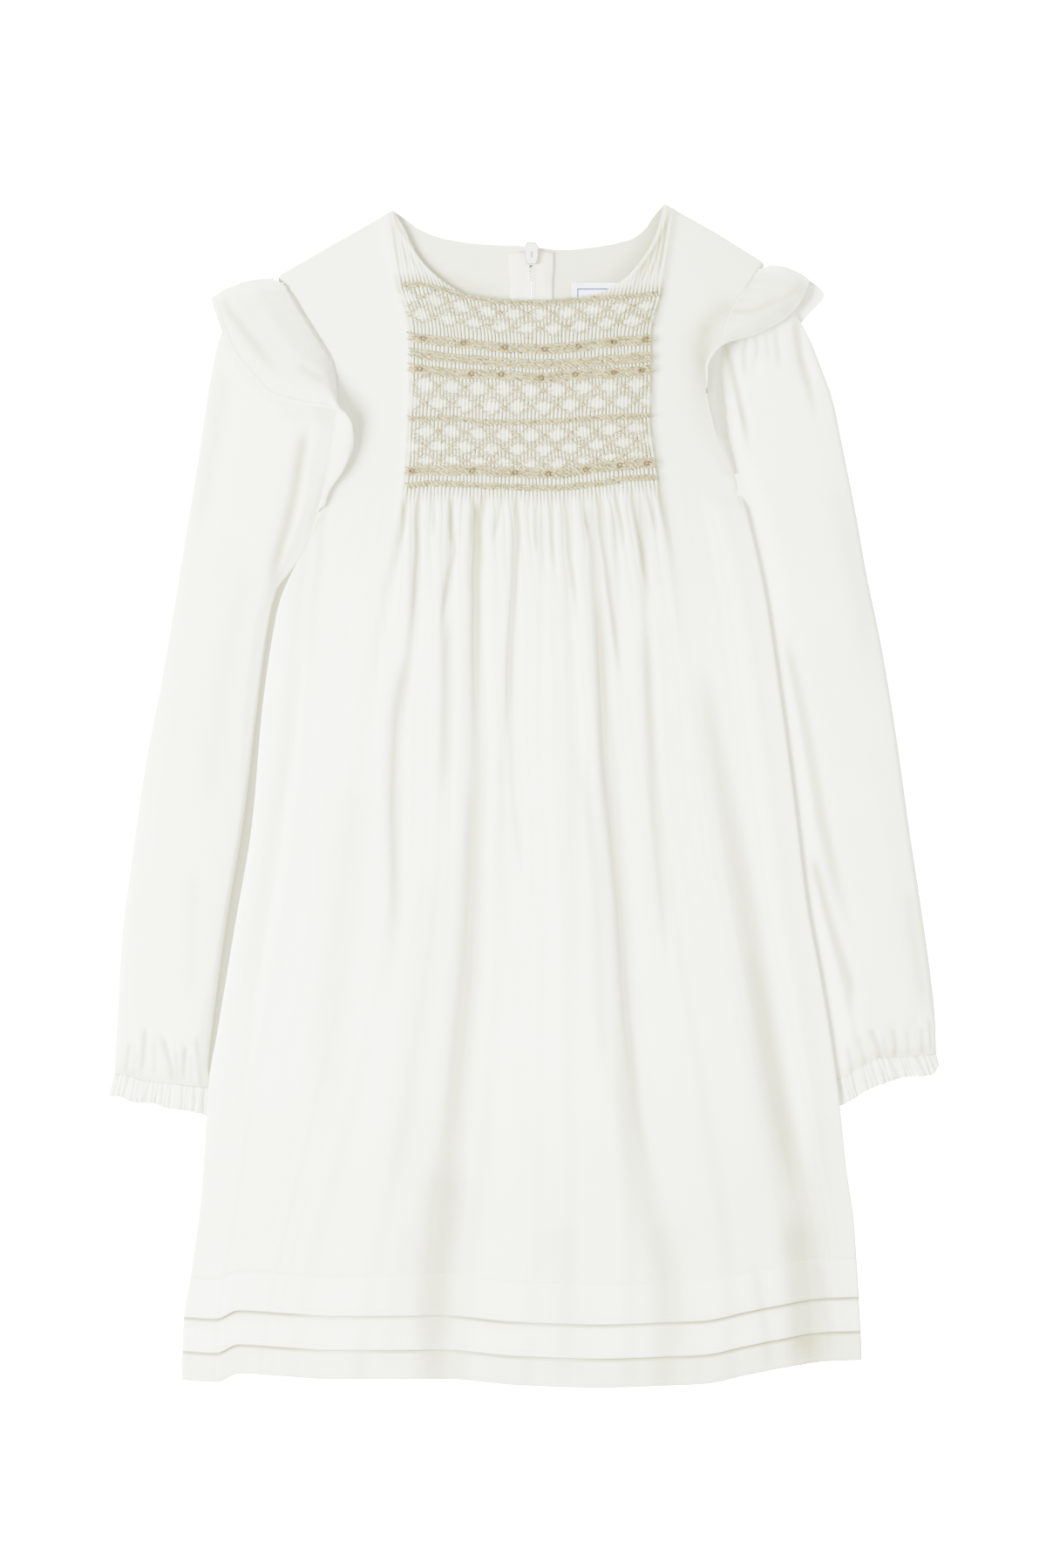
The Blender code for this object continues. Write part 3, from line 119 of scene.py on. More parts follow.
# Creases of the skirt, at six heights: where each runs, how deep it is (1 reaches the flat cloth), and
# its half width at the first height and at the last
CREASE_HEIGHTS = (160.0, 100.0, 20.0, -60.0, -160.0, -250.0)
CREASE_START = 24.0
CREASES = (
    ((-61, -74, -84, -90, -95, -100), (0.8, 0.6, 0.1, 0.0, 0.0, 0.0), 2.2, 5.0),
    ((-56, -57, -67, -68, -72, -76), (0.5, 0.7, 0.6, 0.3, 0.0, 0.0), 2.2, 6.0),
    ((-38, -40, -40, -39, -42, -44), (0.5, 0.6, 0.35, 0.1, 0.0, 0.0), 2.6, 7.0),
    ((-25, -25, -24, -26, -35, -46), (1.0, 0.9, 0.9, 0.9, 0.8, 0.6), 2.6, 11.0),
    ((-4, -5, -9, -12, -16, -20), (0.5, 0.5, 0.3, 0.1, 0.0, 0.0), 2.6, 7.0),
    ((10, 10, 8, 6, 4, 2), (0.6, 0.2, 0.0, 0.0, 0.0, 0.0), 2.2, 5.0),
    ((22, 24, 27, 28, 28, 28), (0.1, 0.4, 0.35, 0.15, 0.0, 0.0), 2.6, 6.0),
    ((34, 39, 45, 52, 56, 74), (0.8, 0.9, 0.8, 0.7, 0.7, 0.5), 2.6, 9.0),
    ((48, 50, 56, 62, 66, 70), (0.6, 0.3, 0.0, 0.0, 0.0, 0.0), 2.2, 5.0),
    ((62, 65, 68, 72, 78, 84), (0.7, 0.5, 0.35, 0.1, 0.0, 0.0), 2.6, 6.0),
    ((85, 92, 104, 119, 133, 152), (0.0, 0.0, 0.4, 0.7, 0.8, 0.6), 4.0, 10.0),
    ((-112, -119, -128, -140, -155, -160), (0.2, 0.5, 0.5, 0.5, 0.2, 0.0), 3.0, 7.0),
    ((-105, -110, -116, -120, -124, -128), (0.5, 0.4, 0.1, 0.0, 0.0, 0.0), 2.6, 5.0),
)
FOLD_HEIGHT = 2.3
# Most painted shade that the skirt's folds may get
SKIRT_PAINTED_SHADE_LIMIT = 0.85

# Centre-back zip, label, and the right side of the body on its sleeve
ZIP_X = 3.9
ZIP_HIGH = 287.0
ZIP_LOW = 30.0
ZIP_TAPE = 11.0
COIL_WIDTH = 2.0
SLIDER_LOW = 279.0
SLIDER_HALF_GAP = 0.75
CLOSED_HALF_GAP = 0.15
TAB_RISE = 1.3
TAB_LOW = 272.0
TAB_RAMP = 8.0
# Left, right, low and high edge of the label
LABEL = (25.0, 57.0, 243.0, 271.0)
OVERLAP_LIFT = 2.9
OVERLAP_START = 164.5
OVERLAP_FULL = 150.0
OVERLAP_END = -168.0
OVERLAP_GONE = -205.0
OVERLAP_WIDE = 12.0
OVERLAP_RAMP = 13.0

# Sleeves, by side. The seams that a sleeve shares with the body come from the body's own outline
SLEEVES = {
    "left": {
        "outer": (
            (-126.0, 268.0), (-137.0, 262.0), (-149.5, 254.5), (-159.0, 245.5), (-165.0, 221.5),
            (-172.0, 176.5), (-178.5, 137.0), (-190.5, 64.5), (-200.0, 14.5), (-207.0, -35.0),
            (-211.5, -69.5), (-215.5, -136.0), (-216.0, -146.0),
        ),
        "inner": (
            (-110.2, 150.0), (-115.8, 140.0), (-120.5, 130.5), (-126.0, 120.0), (-131.0, 110.0),
            (-135.5, 93.0), (-142.0, 45.0), (-149.5, -12.0), (-159.0, -69.5), (-166.0, -126.5),
            (-168.5, -153.5),
        ),
        "wrist": ((-216.0, -146.0), (-209.5, -146.5), (-202.0, -149.0), (-186.5, -151.0), (-168.5, -153.5)),
        "hem": (
            (-219.0, -157.5), (-213.0, -158.0), (-205.0, -161.0), (-195.0, -161.5), (-188.5, -164.0),
            (-176.0, -166.0), (-169.5, -168.0),
        ),
        "shoulder": 268.0,
    },
    "right": {
        "outer": (
            (123.2, 275.0), (134.5, 266.5), (143.0, 254.5), (150.5, 241.5), (157.5, 224.0),
            (163.0, 208.5), (167.5, 187.5), (175.0, 150.0), (180.5, 119.0), (189.0, 77.5), (196.0, 35.5),
            (203.5, -18.0), (210.0, -61.5), (215.0, -98.0), (217.0, -118.5), (217.5, -135.5),
        ),
        "inner": (
            (117.9, 150.0), (121.0, 142.0), (123.2, 133.0), (124.4, 123.0), (125.0, 108.0), (126.0, 88.0),
            (129.0, 57.0), (135.0, -3.0), (141.5, -56.0), (148.5, -94.0), (154.0, -126.5),
            (158.5, -152.0),
        ),
        "wrist": (
            (217.5, -135.5), (209.0, -136.0), (201.0, -137.0), (187.0, -137.5), (178.0, -142.0),
            (168.5, -147.5), (158.5, -152.0),
        ),
        "hem": (
            (219.0, -141.5), (215.0, -146.5), (202.0, -147.5), (191.0, -150.5), (182.0, -154.0),
            (173.0, -159.5), (162.5, -165.0),
        ),
        "shoulder": 275.0,
    },
}
ARMHOLE_BLEND = 0.32
# Soft folds of the sleeves. Each row: start point, end point, depth, half width
SLEEVE_FOLDS = {
    "left": (
        (-111.0, 194.0, -122.0, 152.0, 1.0, 6.0), (-122.0, 152.0, -129.5, 126.0, 1.2, 6.0),
        (-160.0, 225.0, -170.0, 120.0, 0.8, 7.0), (-200.0, -134.0, -197.0, -150.0, 1.0, 2.5),
        (-190.0, -128.0, -186.0, -150.0, 1.2, 2.5), (-177.0, -135.0, -180.0, -152.0, 1.0, 2.5),
    ),
    "right": (
        (138.0, 83.0, 158.0, -12.0, 1.2, 6.0), (158.0, -12.0, 176.0, -79.0, 1.0, 6.0),
        (152.0, -31.0, 173.0, -105.0, 1.4, 5.0), (173.0, -105.0, 178.0, -140.0, 1.0, 3.0),
        (109.0, 228.0, 116.0, 199.0, 1.4, 2.5), (117.0, 240.0, 121.0, 226.0, 1.0, 3.0),
        (145.0, 246.0, 149.0, 221.0, 1.4, 4.0), (195.0, -122.0, 193.0, -140.0, 1.0, 2.5),
        (206.0, -118.0, 207.0, -138.0, 1.0, 2.5),
    ),
}

# Elastic cuffs
CUFF_GATHERS = 18
CUFF_TOP = 3.7
CUFF_WAVE = 0.55
CUFF_EDGE = 2.7
CUFF_MIDDLE = 1.4
# Points across the upper side of a sleeve and of a cuff
SLEEVE_STEPS = 84
CUFF_STEPS = 150
# Shade of the sleeves beside the body: how far it reaches, and its strength
BESIDE_BODY_SHADE = {"left": (4.0, 0.22), "right": (2.0, 0.05)}
# Shade of the frills
FRILL_SHADE = {"left": 0.36, "right": 0.50}

# Frills of the armholes. Each row is one section across the frill: the height where it is sewn in, then
# right, up and height above the surface of its belly, its crest and its free edge
FRILLS = {
    "left": (
        (150.0, -108.4, 151.0, 4.7, -106.6, 152.0, 5.3, -104.8, 153.0, 5.3),
        (158.0, -105.5, 159.5, 5.6, -103.6, 160.5, 6.2, -102.4, 160.5, 6.0),
        (172.0, -99.5, 172.0, 7.0, -96.5, 172.5, 8.0, -94.8, 172.0, 7.8),
        (187.0, -97.0, 186.5, 8.0, -92.5, 186.5, 9.6, -89.6, 186.0, 9.2),
        (198.0, -97.0, 197.0, 8.6, -93.0, 196.0, 11.0, -90.2, 194.0, 11.0),
        (206.0, -98.0, 204.5, 9.0, -95.5, 202.0, 12.4, -92.5, 199.5, 13.0),
        (213.0, -99.5, 211.0, 9.4, -99.0, 207.0, 13.0, -97.5, 202.8, 13.6),
        (220.0, -102.0, 217.0, 9.6, -104.0, 211.0, 12.6, -105.0, 204.2, 12.2),
        (229.0, -108.0, 223.5, 9.4, -113.5, 214.0, 11.2, -117.0, 205.6, 9.6),
        (238.0, -118.0, 230.0, 8.8, -127.5, 220.0, 9.6, -134.0, 210.0, 7.2),
        (247.5, -128.0, 241.0, 8.2, -138.0, 230.0, 9.2, -143.5, 220.0, 6.9),
        (256.5, -135.0, 251.5, 7.6, -146.5, 240.5, 8.6, -153.0, 232.0, 6.6),
        (264.5, -140.0, 262.0, 6.8, -152.5, 254.0, 7.8, -159.5, 246.5, 6.2),
        (269.5, -141.5, 269.0, 6.4, -155.5, 264.5, 6.6, -163.8, 259.5, 5.2),
    ),
    "right": (
        (170.0, 110.6, 170.0, 5.3, 109.0, 170.0, 5.8, 107.6, 170.0, 5.8),
        (180.0, 107.5, 180.0, 6.2, 106.0, 179.8, 7.0, 104.8, 179.6, 7.2),
        (195.0, 103.0, 195.0, 7.2, 100.2, 195.5, 9.0, 99.0, 195.5, 9.8),
        (209.0, 101.0, 209.5, 8.0, 97.0, 211.0, 10.8, 96.2, 211.5, 12.4),
        (221.0, 100.0, 222.5, 8.8, 95.6, 224.5, 12.0, 96.4, 224.0, 14.2),
        (230.0, 101.0, 231.5, 9.2, 98.0, 233.0, 13.0, 99.6, 232.0, 15.2),
        (239.0, 105.5, 240.0, 9.4, 105.5, 240.5, 13.4, 108.0, 238.5, 14.6),
        (248.0, 113.0, 246.5, 9.2, 116.0, 245.5, 12.4, 119.5, 242.0, 11.6),
        (256.0, 120.0, 254.5, 8.6, 126.0, 252.0, 11.0, 130.0, 246.8, 8.8),
        (263.5, 126.0, 262.0, 7.8, 134.5, 258.5, 9.8, 139.0, 252.5, 7.4),
        (271.0, 131.5, 270.0, 7.0, 141.0, 265.5, 8.6, 145.5, 260.5, 6.6),
        (276.5, 135.5, 276.0, 6.0, 144.5, 272.5, 6.6, 149.5, 269.0, 5.2),
    ),
}
# The frill turns over beside the shoulder and runs down the back armhole, flat on the surface.
# Where it is sewn in beside the shoulder
FRILL_TURN = {"left": (-132.1, 272.9), "right": (129.1, 279.9)}
FRILL_TURN_HEIGHTS = (4.2, 2.2)
FRILL_TURN_OUT = 3.0
# Each row: share of the way down the back, width of the frill
FRILL_BACK = ((0.0, 36.0), (0.2, 33.0), (0.4, 28.0), (0.6, 21.0), (0.8, 13.0), (1.0, 4.0))
FRILL_BACK_LENGTH = 105.0
FRILL_BACK_SECTIONS = 10
FRILL_BACK_OFFSET = 1.3
FRILL_SPREAD = (0.0, 0.42, 0.78, 1.0)
FRILL_LEAN = (0.93, -0.36)

# Thickness of the cloth in the looks
BACK_CLOTH = 0.8
FRILL_CLOTH = 0.7
TAPE_CLOTH = 0.45
LABEL_CLOTH = 0.4
# Distance of the label's frame line from its edge, in metres
LABEL_LINE_INSET = 0.0034

# Outline of the slider's shield, to the right of the zip and up the dress, and its height
SHIELD = (
    (-3.6, 289.3), (-2.0, 291.5), (2.0, 291.5), (3.6, 289.3), (3.3, 284.2), (2.3, 280.5), (-2.3, 280.5),
    (-3.3, 284.2), (-3.6, 289.3),
)
SHIELD_TOP = 5.85
PULL_RIVET = (287.6, 283.0)

# Machine stitches: length, gap and thickness
SEAM_STITCH = (1.7, 0.5, 0.34)
ZIP_STITCH = (1.7, 0.5, 0.32)
LABEL_STITCH = (1.3, 0.7, 0.3)
# Where they cross the skirt. Each row: height up the dress, height above the plain skirt
SKIRT_STITCHES = (
    (TUCK_STITCH, -0.02), (TUCK_EDGES[0] + 2.8, 1.88), (TUCK_EDGES[1] + 2.8, 1.7), (HEM + 2.5, 0.68),
)

# Floor, light and camera, in metres
FLOOR_GLOW = 60.0
FLOOR_SIZE = 3.0
FLOOR_HEIGHT = -0.0003
CAMERA_PLACE = (-0.0005, 0.0067, 2.5)
CAMERA_LENS = 108.8
WORLD_LIGHT = 1.75
# Each lamp: name, place, size, power in watts, colour
LIGHTS = (
    ("key", (-1.4, -0.15, 1.35), 1.1, 360.0, (0.97, 1.0, 1.0)),
    ("fill", (1.4, 0.75, 1.5), 1.2, 80.0, (1.0, 0.97, 0.90)),
)
# Painted shade: the colour that the cloth is multiplied by where its painted shade is deepest
SHADE = (0.31, 0.305, 0.19, 1.0)
# Distances between the cloth's threads and how far they wander, in metres
WARP_PITCH = 0.00042
WEFT_PITCH = 0.00036
THREAD_BEND = 0.00022


# Shared numbers

def ease(share):
    """Soft step from 0 to 1."""
    share = np.clip(share, 0.0, 1.0)
    return share * share * (3.0 - 2.0 * share)


def line(keys, values, at):
    """Values at `at` of the smooth line through the given points. It never swings past them."""
    order = np.argsort(keys)
    keys = np.asarray(keys, float)[order]
    values = np.asarray(values, float)[order]
    steps = np.diff(keys)
    slopes = np.diff(values) / steps
    product = slopes[:-1] * slopes[1:]
    total = slopes[:-1] + slopes[1:]
    inner = np.where(product > 0.0, 2.0 * product / np.where(product > 0.0, total, 1.0), 0.0)
    tangents = np.concatenate(([slopes[0]], inner, [slopes[-1]]))
    at = np.clip(at, keys[0], keys[-1])
    index = np.clip(np.searchsorted(keys, at) - 1, 0, len(steps) - 1)
    share = (at - keys[index]) / steps[index]
    rest = 1.0 - share
    start = values[index] * (1.0 + 2.0 * share) + tangents[index] * steps[index] * share
    end = values[index + 1] * (3.0 - 2.0 * share) - tangents[index + 1] * steps[index] * rest
    return rest * rest * start + share * share * end


def column(table, key, value, at):
    return line([row[key] for row in table], [row[value] for row in table], at)


def point_along(points, share):
    """Points at shares of the length of a line through (right, up) points."""
    points = np.asarray(points, float)
    lengths = np.concatenate(([0.0], np.cumsum(np.linalg.norm(np.diff(points, axis=0), axis=1))))
    at = share * lengths[-1]
    return np.array([line(lengths, points[:, 0], at), line(lengths, points[:, 1], at)])


def left_edge(y):
    return column(LEFT_EDGE, 0, 1, y)


def right_edge(y):
    return column(RIGHT_EDGE, 0, 1, y)


EDGES = {"left": left_edge, "right": right_edge}


def photo_x(pixel):
    """Distance to the right of a column of the photo's pixels."""
    return (pixel - PIXEL_X) * PIXEL


def photo_line(points):
    """A line given in photo pixels, as (right, up) points."""
    return [(photo_x(px), (PIXEL_Y - py) * PIXEL) for px, py in points]


def ripple(*parts):
    """A smooth uneven wave from -1 to 1: the mean of sines whose phases are given."""
    return sum(np.sin(part) for part in parts) / len(parts)


def segment_distance(x, y, ax, ay, bx, by):
    """Distance from points to the line between two points, and the share of the way along it."""
    length = (bx - ax) ** 2 + (by - ay) ** 2
    share = np.clip(((x - ax) * (bx - ax) + (y - ay) * (by - ay)) / length, 0.0, 1.0)
    return np.hypot(x - ax - (bx - ax) * share, y - ay - (by - ay) * share), share


def grooves(x, y, table):
    """Sum of soft troughs along lines. Each row: points of the line in photo pixels, depth, half width."""
    total = np.zeros(np.broadcast(x, y).shape)
    for points, depth, wide in table:
        path = photo_line(points)
        nearest = np.full(total.shape, 1e6)
        fade = np.ones(total.shape)
        count = len(path) - 1
        for index in range(count):
            away, share = segment_distance(x, y, *path[index], *path[index + 1])
            along = (index + share) / count
            closer = away < nearest
            nearest = np.where(closer, away, nearest)
            fade = np.where(closer, ease(np.minimum(along * 8.0 + 0.35, (1.0 - along) * 2.8)), fade)
        total = total + depth * fade * np.exp(-((nearest / wide) ** 2))
    return total


# The front as a surface

def overlap_lift(x, y):
    """How far the right side of the body is raised by the sleeve beneath it."""
    across = 1.0 - ease((right_edge(y) - x - OVERLAP_WIDE) / OVERLAP_RAMP)
    along = ease((OVERLAP_START - y) / (OVERLAP_START - OVERLAP_FULL))
    along = along * (1.0 - ease((OVERLAP_END - y) / (OVERLAP_END - OVERLAP_GONE)))
    return OVERLAP_LIFT * across * along


def tab_lift(x, y):
    """How far the back is raised by the zip's pull tab beneath it."""
    across = 1.0 - ease((abs(x - ZIP_X) - 5.5) / 8.5)
    return TAB_RISE * across * ease((y - TAB_LOW + TAB_RAMP) / TAB_RAMP)


def back_under(x, y):
    return overlap_lift(x, y) + tab_lift(x, y)


def bottom_limit(x, y):
    """Lowest place for the front, just clear of the back and of the zip between them."""
    along = ease((y - ZIP_LOW + 25.0) / 20.0)
    aside = abs(x - ZIP_X)
    tape = 1.3 * (1.0 - ease((aside - ZIP_TAPE - 1.0) / 8.0))
    coil = 0.6 * (1.0 - ease((aside - COIL_WIDTH - 1.0) / 4.0))
    return BACK_TOP + SEAM_GAP + (tape + coil) * along + overlap_lift(x, y)


def sag(x, y):
    """How far a level row of the front bends: the neck's dip, then the hem's wave."""
    share = np.clip((SMOCK_HIGH - y) / (SMOCK_HIGH - SMOCK_LOW), 0.0, 1.0)
    top, low = column(SMOCK_SAG, 0, 1, x), column(SMOCK_SAG, 0, 2, x)
    chest = (top + (low - top) * share) * (1.0 - ease((SMOCK_LOW - y) / 90.0))
    return chest + column(HEM_WAVE, 0, 1, x) * ease((HEM_WAVE_START - y) / (HEM_WAVE_START - TUCK_EDGES[0]))


def top_height(x, table):
    """Height of a neck edge: straight shoulders outside the neck tips, a smooth curve between them."""
    keys, heights = [row[0] for row in table], [row[1] for row in table]
    neck = [row for row in table if NECK_TIPS[0] <= row[0] <= NECK_TIPS[1]]
    inside = (x > NECK_TIPS[0]) & (x < NECK_TIPS[1])
    return np.where(inside, column(neck, 0, 1, x), np.interp(x, keys, heights))


def front_x(place, y):
    """Distance to the right of a place across the front: 0 to 1 is the left flank, 1 to 2 the middle."""
    left, right = left_edge(y), right_edge(y)
    low, high = column(MIDDLE, 0, 1, y), column(MIDDLE, 0, 2, y)
    flank_left = left + (low - left) * place
    middle = low + (high - low) * (place - 1.0)
    flank_right = high + (right - high) * (place - 2.0)
    return np.where(place < 1.0, flank_left, np.where(place <= 2.0, middle, flank_right))


def front_place(x, y):
    """The place across the front of a point, the other way round."""
    left, right = left_edge(y), right_edge(y)
    low, high = column(MIDDLE, 0, 1, y), column(MIDDLE, 0, 2, y)
    return np.where(x < low, (x - left) / (low - left),
                    np.where(x <= high, 1.0 + (x - low) / (high - low), 2.0 + (x - high) / (right - high)))


# Embroidered rows of the smocking, as the photo shows them, from the neck down
SMOCK_ROWS = {
    "A": photo_line((
        (458, 328), (483, 328), (512, 335), (540, 343), (579, 348), (624, 349), (668, 345), (711, 342),
        (757, 338),
    )),
    "B": photo_line((
        (466, 387), (485, 390), (531, 395), (578, 400), (624, 402), (663, 399), (703, 394), (751, 391),
    )),
    "C": photo_line(((468, 405), (527, 413), (592, 418), (624, 419), (678, 416), (751, 410))),
    "D": photo_line(((466, 423), (531, 430), (574, 431), (620, 435), (659, 431), (703, 429), (751, 425))),
    "E": photo_line(((466, 481), (516, 481), (561, 486), (613, 485), (678, 481), (749, 477))),
    "F": photo_line((
        (463, 543), (481, 541), (530, 541), (580, 543), (628, 545), (671, 540), (710, 535), (754, 532),
    )),
    "G": photo_line(((464, 560), (494, 556), (548, 558), (624, 561), (678, 557), (722, 550), (754, 548))),
}
# Trellis between two rows. Each row: upper row, lower row, then for each line of open cells its share of
# the way down, its half height as a share, and the pixel in which one cell is centred
TRELLIS = (
    ("A", "B", ((0.24, 0.17, 498.0), (0.55, 0.17, 513.0))),
    ("D", "E", ((0.30, 0.22, 517.0), (0.66, 0.21, 502.0))),
    ("E", "F", ((0.25, 0.18, 487.0), (0.53, 0.16, 502.0), (0.80, 0.12, 487.0))),
)
CELL_PITCH = 30.2 * PIXEL


def row_up(name, x):
    return column(SMOCK_ROWS[name], 0, 1, x)


def triangle_wave(x, centre):
    """1 over the centre of each cell, 0 between two cells."""
    phase = (x - photo_x(centre)) / CELL_PITCH
    return 1.0 - 2.0 * np.abs(phase - np.round(phase))


def openness(x, up):
    """1 in the middle of the trellis' open cells, where the pleats spread, and 0 on its stitches."""
    total = np.zeros(np.broadcast(x, up).shape)
    for upper, lower, cells in TRELLIS:
        high, low = row_up(upper, x), row_up(lower, x)
        share = (high - up) / (high - low)
        for middle, half, centre in cells:
            inside = triangle_wave(x, centre) - np.abs(share - middle) / half
            total = np.maximum(total, ease(inside / 0.45))
    return total


# Half widths of the embroidered rows
ROW_HALVES = {"A": 1.6, "B": 2.6, "C": 2.6, "D": 2.6, "E": 1.6, "F": 2.8, "G": 1.8}


def pinch(x, up):
    """1 on the embroidered rows, where the thread holds the pleats down, and 0 away from them."""
    total = np.zeros(np.broadcast(x, up).shape)
    for name, half in ROW_HALVES.items():
        total = np.maximum(total, np.exp(-(((up - row_up(name, x)) / half) ** 2)))
    return total


# Gathers that run down from the smocking, in photo pixels: points, depth in millimetres, half width
GATHERS = (
    (((467, 562), (461, 606), (455, 643), (441, 689), (430, 750)), 1.5, 1.7),
    (((480, 560), (480, 610), (477, 680), (472, 745)), 1.1, 1.5),
    (((497, 562), (498, 590), (499, 622)), 0.8, 1.3),
    (((519, 563), (518, 603), (522, 633), (516, 656), (509, 706), (504, 760)), 1.3, 1.6),
    (((541, 560), (545, 580), (549, 598), (549, 640)), 1.1, 1.5),
    (((558, 560), (553, 580), (549, 598), (548, 640), (547, 700), (547, 799), (548, 880)), 1.5, 2.2),
    (((577, 562), (572, 590), (566, 631)), 0.9, 1.4),
    (((592, 563), (594, 600), (593, 640), (587, 722), (584, 800), (580, 870)), 1.2, 1.7),
    (((614, 565), (615, 600), (617, 650)), 0.9, 1.4),
    (((631, 565), (633, 610), (636, 668)), 0.9, 1.5),
    (((648, 563), (651, 600), (657, 660), (664, 730)), 1.1, 1.7),
    (((668, 561), (672, 590), (677, 622)), 0.9, 1.4),
    (((684, 558), (689, 600), (697, 660), (708, 740), (716, 800)), 1.3, 1.8),
    (((705, 556), (711, 590), (717, 640)), 0.9, 1.5),
    (((722, 554), (729, 590), (738, 640), (748, 700)), 1.2, 1.7),
    (((738, 553), (746, 580), (756, 620)), 1.0, 1.5),
    (((752, 551), (762, 590), (775, 640), (790, 700)), 1.3, 1.8),
)
# Wide soft troughs of the skirt and the flanks, below 0 a ridge
SWEEPS = (
    (((353, 700), (353, 872), (333, 999), (300, 1150), (278, 1243)), -0.5, 9.0),
    (((347, 740), (330, 880), (295, 1119), (268, 1331)), 0.85, 3.0),
    (((410, 900), (395, 1050), (380, 1200), (372, 1330)), 0.5, 9.0),
    (((466, 760), (454, 824), (452, 916), (456, 1027), (452, 1120)), 1.0, 3.2),
    (((514, 720), (514, 790), (513, 860), (508, 930)), 0.8, 3.2),
    (((500, 1000), (486, 1150), (468, 1300), (452, 1440)), 0.45, 9.0),
    (((544, 900), (540, 1010), (534, 1119), (519, 1285), (506, 1380)), 0.75, 4.6),
    (((560, 900), (575, 1100), (590, 1300), (600, 1430)), -0.5, 9.0),
    (((585, 740), (590, 916), (600, 1010)), 0.6, 2.2),
    (((668, 870), (687, 1008), (691, 1156), (700, 1285)), 0.6, 4.0),
    (((689, 695), (693, 870), (710, 1036), (719, 1156), (733, 1285), (756, 1395)), 1.1, 2.8),
    (((742, 732), (751, 916), (760, 1027), (768, 1120)), 0.8, 3.0),
    (((640, 900), (650, 1050), (655, 1200)), -0.4, 8.0),
    (((806, 770), (839, 962), (866, 1119), (894, 1285), (917, 1400)), 0.55, 6.0),
    (((866, 1100), (888, 1210), (905, 1300), (915, 1370)), 0.45, 3.5),
    (((925, 1130), (940, 1260), (952, 1380)), 0.3, 6.0),
    (((516, 1340), (502, 1470), (494, 1592)), 0.95, 11.0),
    (((468, 1400), (455, 1500), (447, 1588)), 0.35, 6.0),
    (((640, 1400), (650, 1500), (655, 1600)), 0.35, 12.0),
    (((760, 1400), (775, 1500), (790, 1590)), 0.35, 9.0),
    (((912, 1400), (920, 1510), (924, 1575)), 1.0, 7.5), (((866, 1450), (880, 1530), (884, 1585)), 0.45, 3.5),
    (((940, 1450), (950, 1510), (955, 1560)), 0.45, 3.5),
)
# Shade without a fold: beneath the frills, along the seams of the armholes, beside the neck edge
FRONT_SHADE = (
    (((398, 448), (413, 474), (419, 505), (409, 532), (391, 556), (374, 586)), 0.16, 5.2),
    (((842, 350), (826, 358), (811, 374), (803, 400), (808, 436), (820, 474), (836, 520)), 0.36, 5.8),
    (((812, 372), (802, 400), (808, 445)), 0.14, 8.0),
    (((876, 302), (858, 330), (839, 357)), 0.25, 1.2),
    (((374, 586), (352, 620), (336, 650), (328, 700)), 0.35, 1.2),
    (((839, 543), (848, 570), (854, 592)), 0.35, 1.2),
    (((451, 243), (457, 261), (475, 286), (495, 311), (512, 328)), 0.5, 0.9),
    (((770, 240), (762, 262), (748, 290), (728, 318), (712, 334)), 0.5, 0.9),
)
# Broad pleats of the strips between the neck edge's tips and the smocking
STRIPS = (
    (((452, 258), (455, 285), (460, 320)), 0.8, 0.8), (((460, 275), (466, 295), (472, 321)), 0.8, 0.7),
    (((470, 290), (477, 305), (485, 323)), 0.8, 0.7), (((481, 302), (487, 312), (496, 326)), 0.7, 0.7),
    (((766, 252), (760, 290), (751, 332)), 1.1, 0.9), (((760, 266), (752, 300), (740, 333)), 1.1, 0.8),
    (((752, 284), (742, 310), (729, 336)), 1.0, 0.8), (((742, 301), (732, 320), (720, 338)), 0.9, 0.8),
    (((775, 250), (772, 290), (762, 332)), 0.7, 0.8),
)
PLEAT_DEEP = 1.7


def chest_height(place, x, y, up, ring):
    """Height of the smocked chest, and its painted shade; `ring` goes from 0 at the first smocked row to 1 at
    the neck edge.
    """
    inside = ease((place - 0.94) / 0.06) * ease((2.06 - place) / 0.06)
    phase = (place - 1.0) * PLEATS
    deep = PLEAT_DEEP * (1.0 + 0.16 * ripple(phase * 1.7 + 1.0, phase * 0.83, up * 0.11 + phase * 0.6))
    shape = np.abs(np.sin(math.pi * phase)) ** 0.72
    held = pinch(x, up)
    spread = openness(x, up) * (1.0 - held)
    strip = ease((up - row_up("A", x) - 2.5) / 5.0)
    broad = grooves(x, up, STRIPS) * strip
    deep = deep * (1.0 - 0.62 * spread) * (1.0 - 0.32 * held) * (1.0 - 0.55 * ring) * (1.0 - 0.75 * strip)
    base = FRONT_FLAT_TOP + (SMOCK_TOP - FRONT_FLAT_TOP) * inside * (1.0 - 0.2 * ring)
    # Painted shade of the chest: in the pleats' valleys (less where the trellis opens them), a little all
    # over, in the strips' broad pleats, and along the edges of the smocked middle
    patchy = 0.72 + 0.38 * ripple(phase * 2.3, up * 0.9 + phase * 1.1, phase * 0.7 - up * 0.4)
    painted_shade = (1.0 - shape) ** 1.2 * (1.0 - 0.55 * spread) * (0.62 + 0.3 * held) * patchy
    painted_shade = painted_shade + 0.30 * (1.0 - 0.35 * spread)
    painted_shade = inside * (painted_shade * (1.0 - 0.75 * strip) + 0.5 * broad)
    border = np.exp(-(((place - 0.985) / 0.02) ** 2)) + np.exp(-(((place - 2.015) / 0.02) ** 2))
    painted_shade = np.maximum(painted_shade, 0.55 * border * ease((270.0 - up) / 6.0))
    return base + inside * (deep * (shape - 0.62) + 0.45 * spread - 0.25 * held - 0.5 * broad), painted_shade


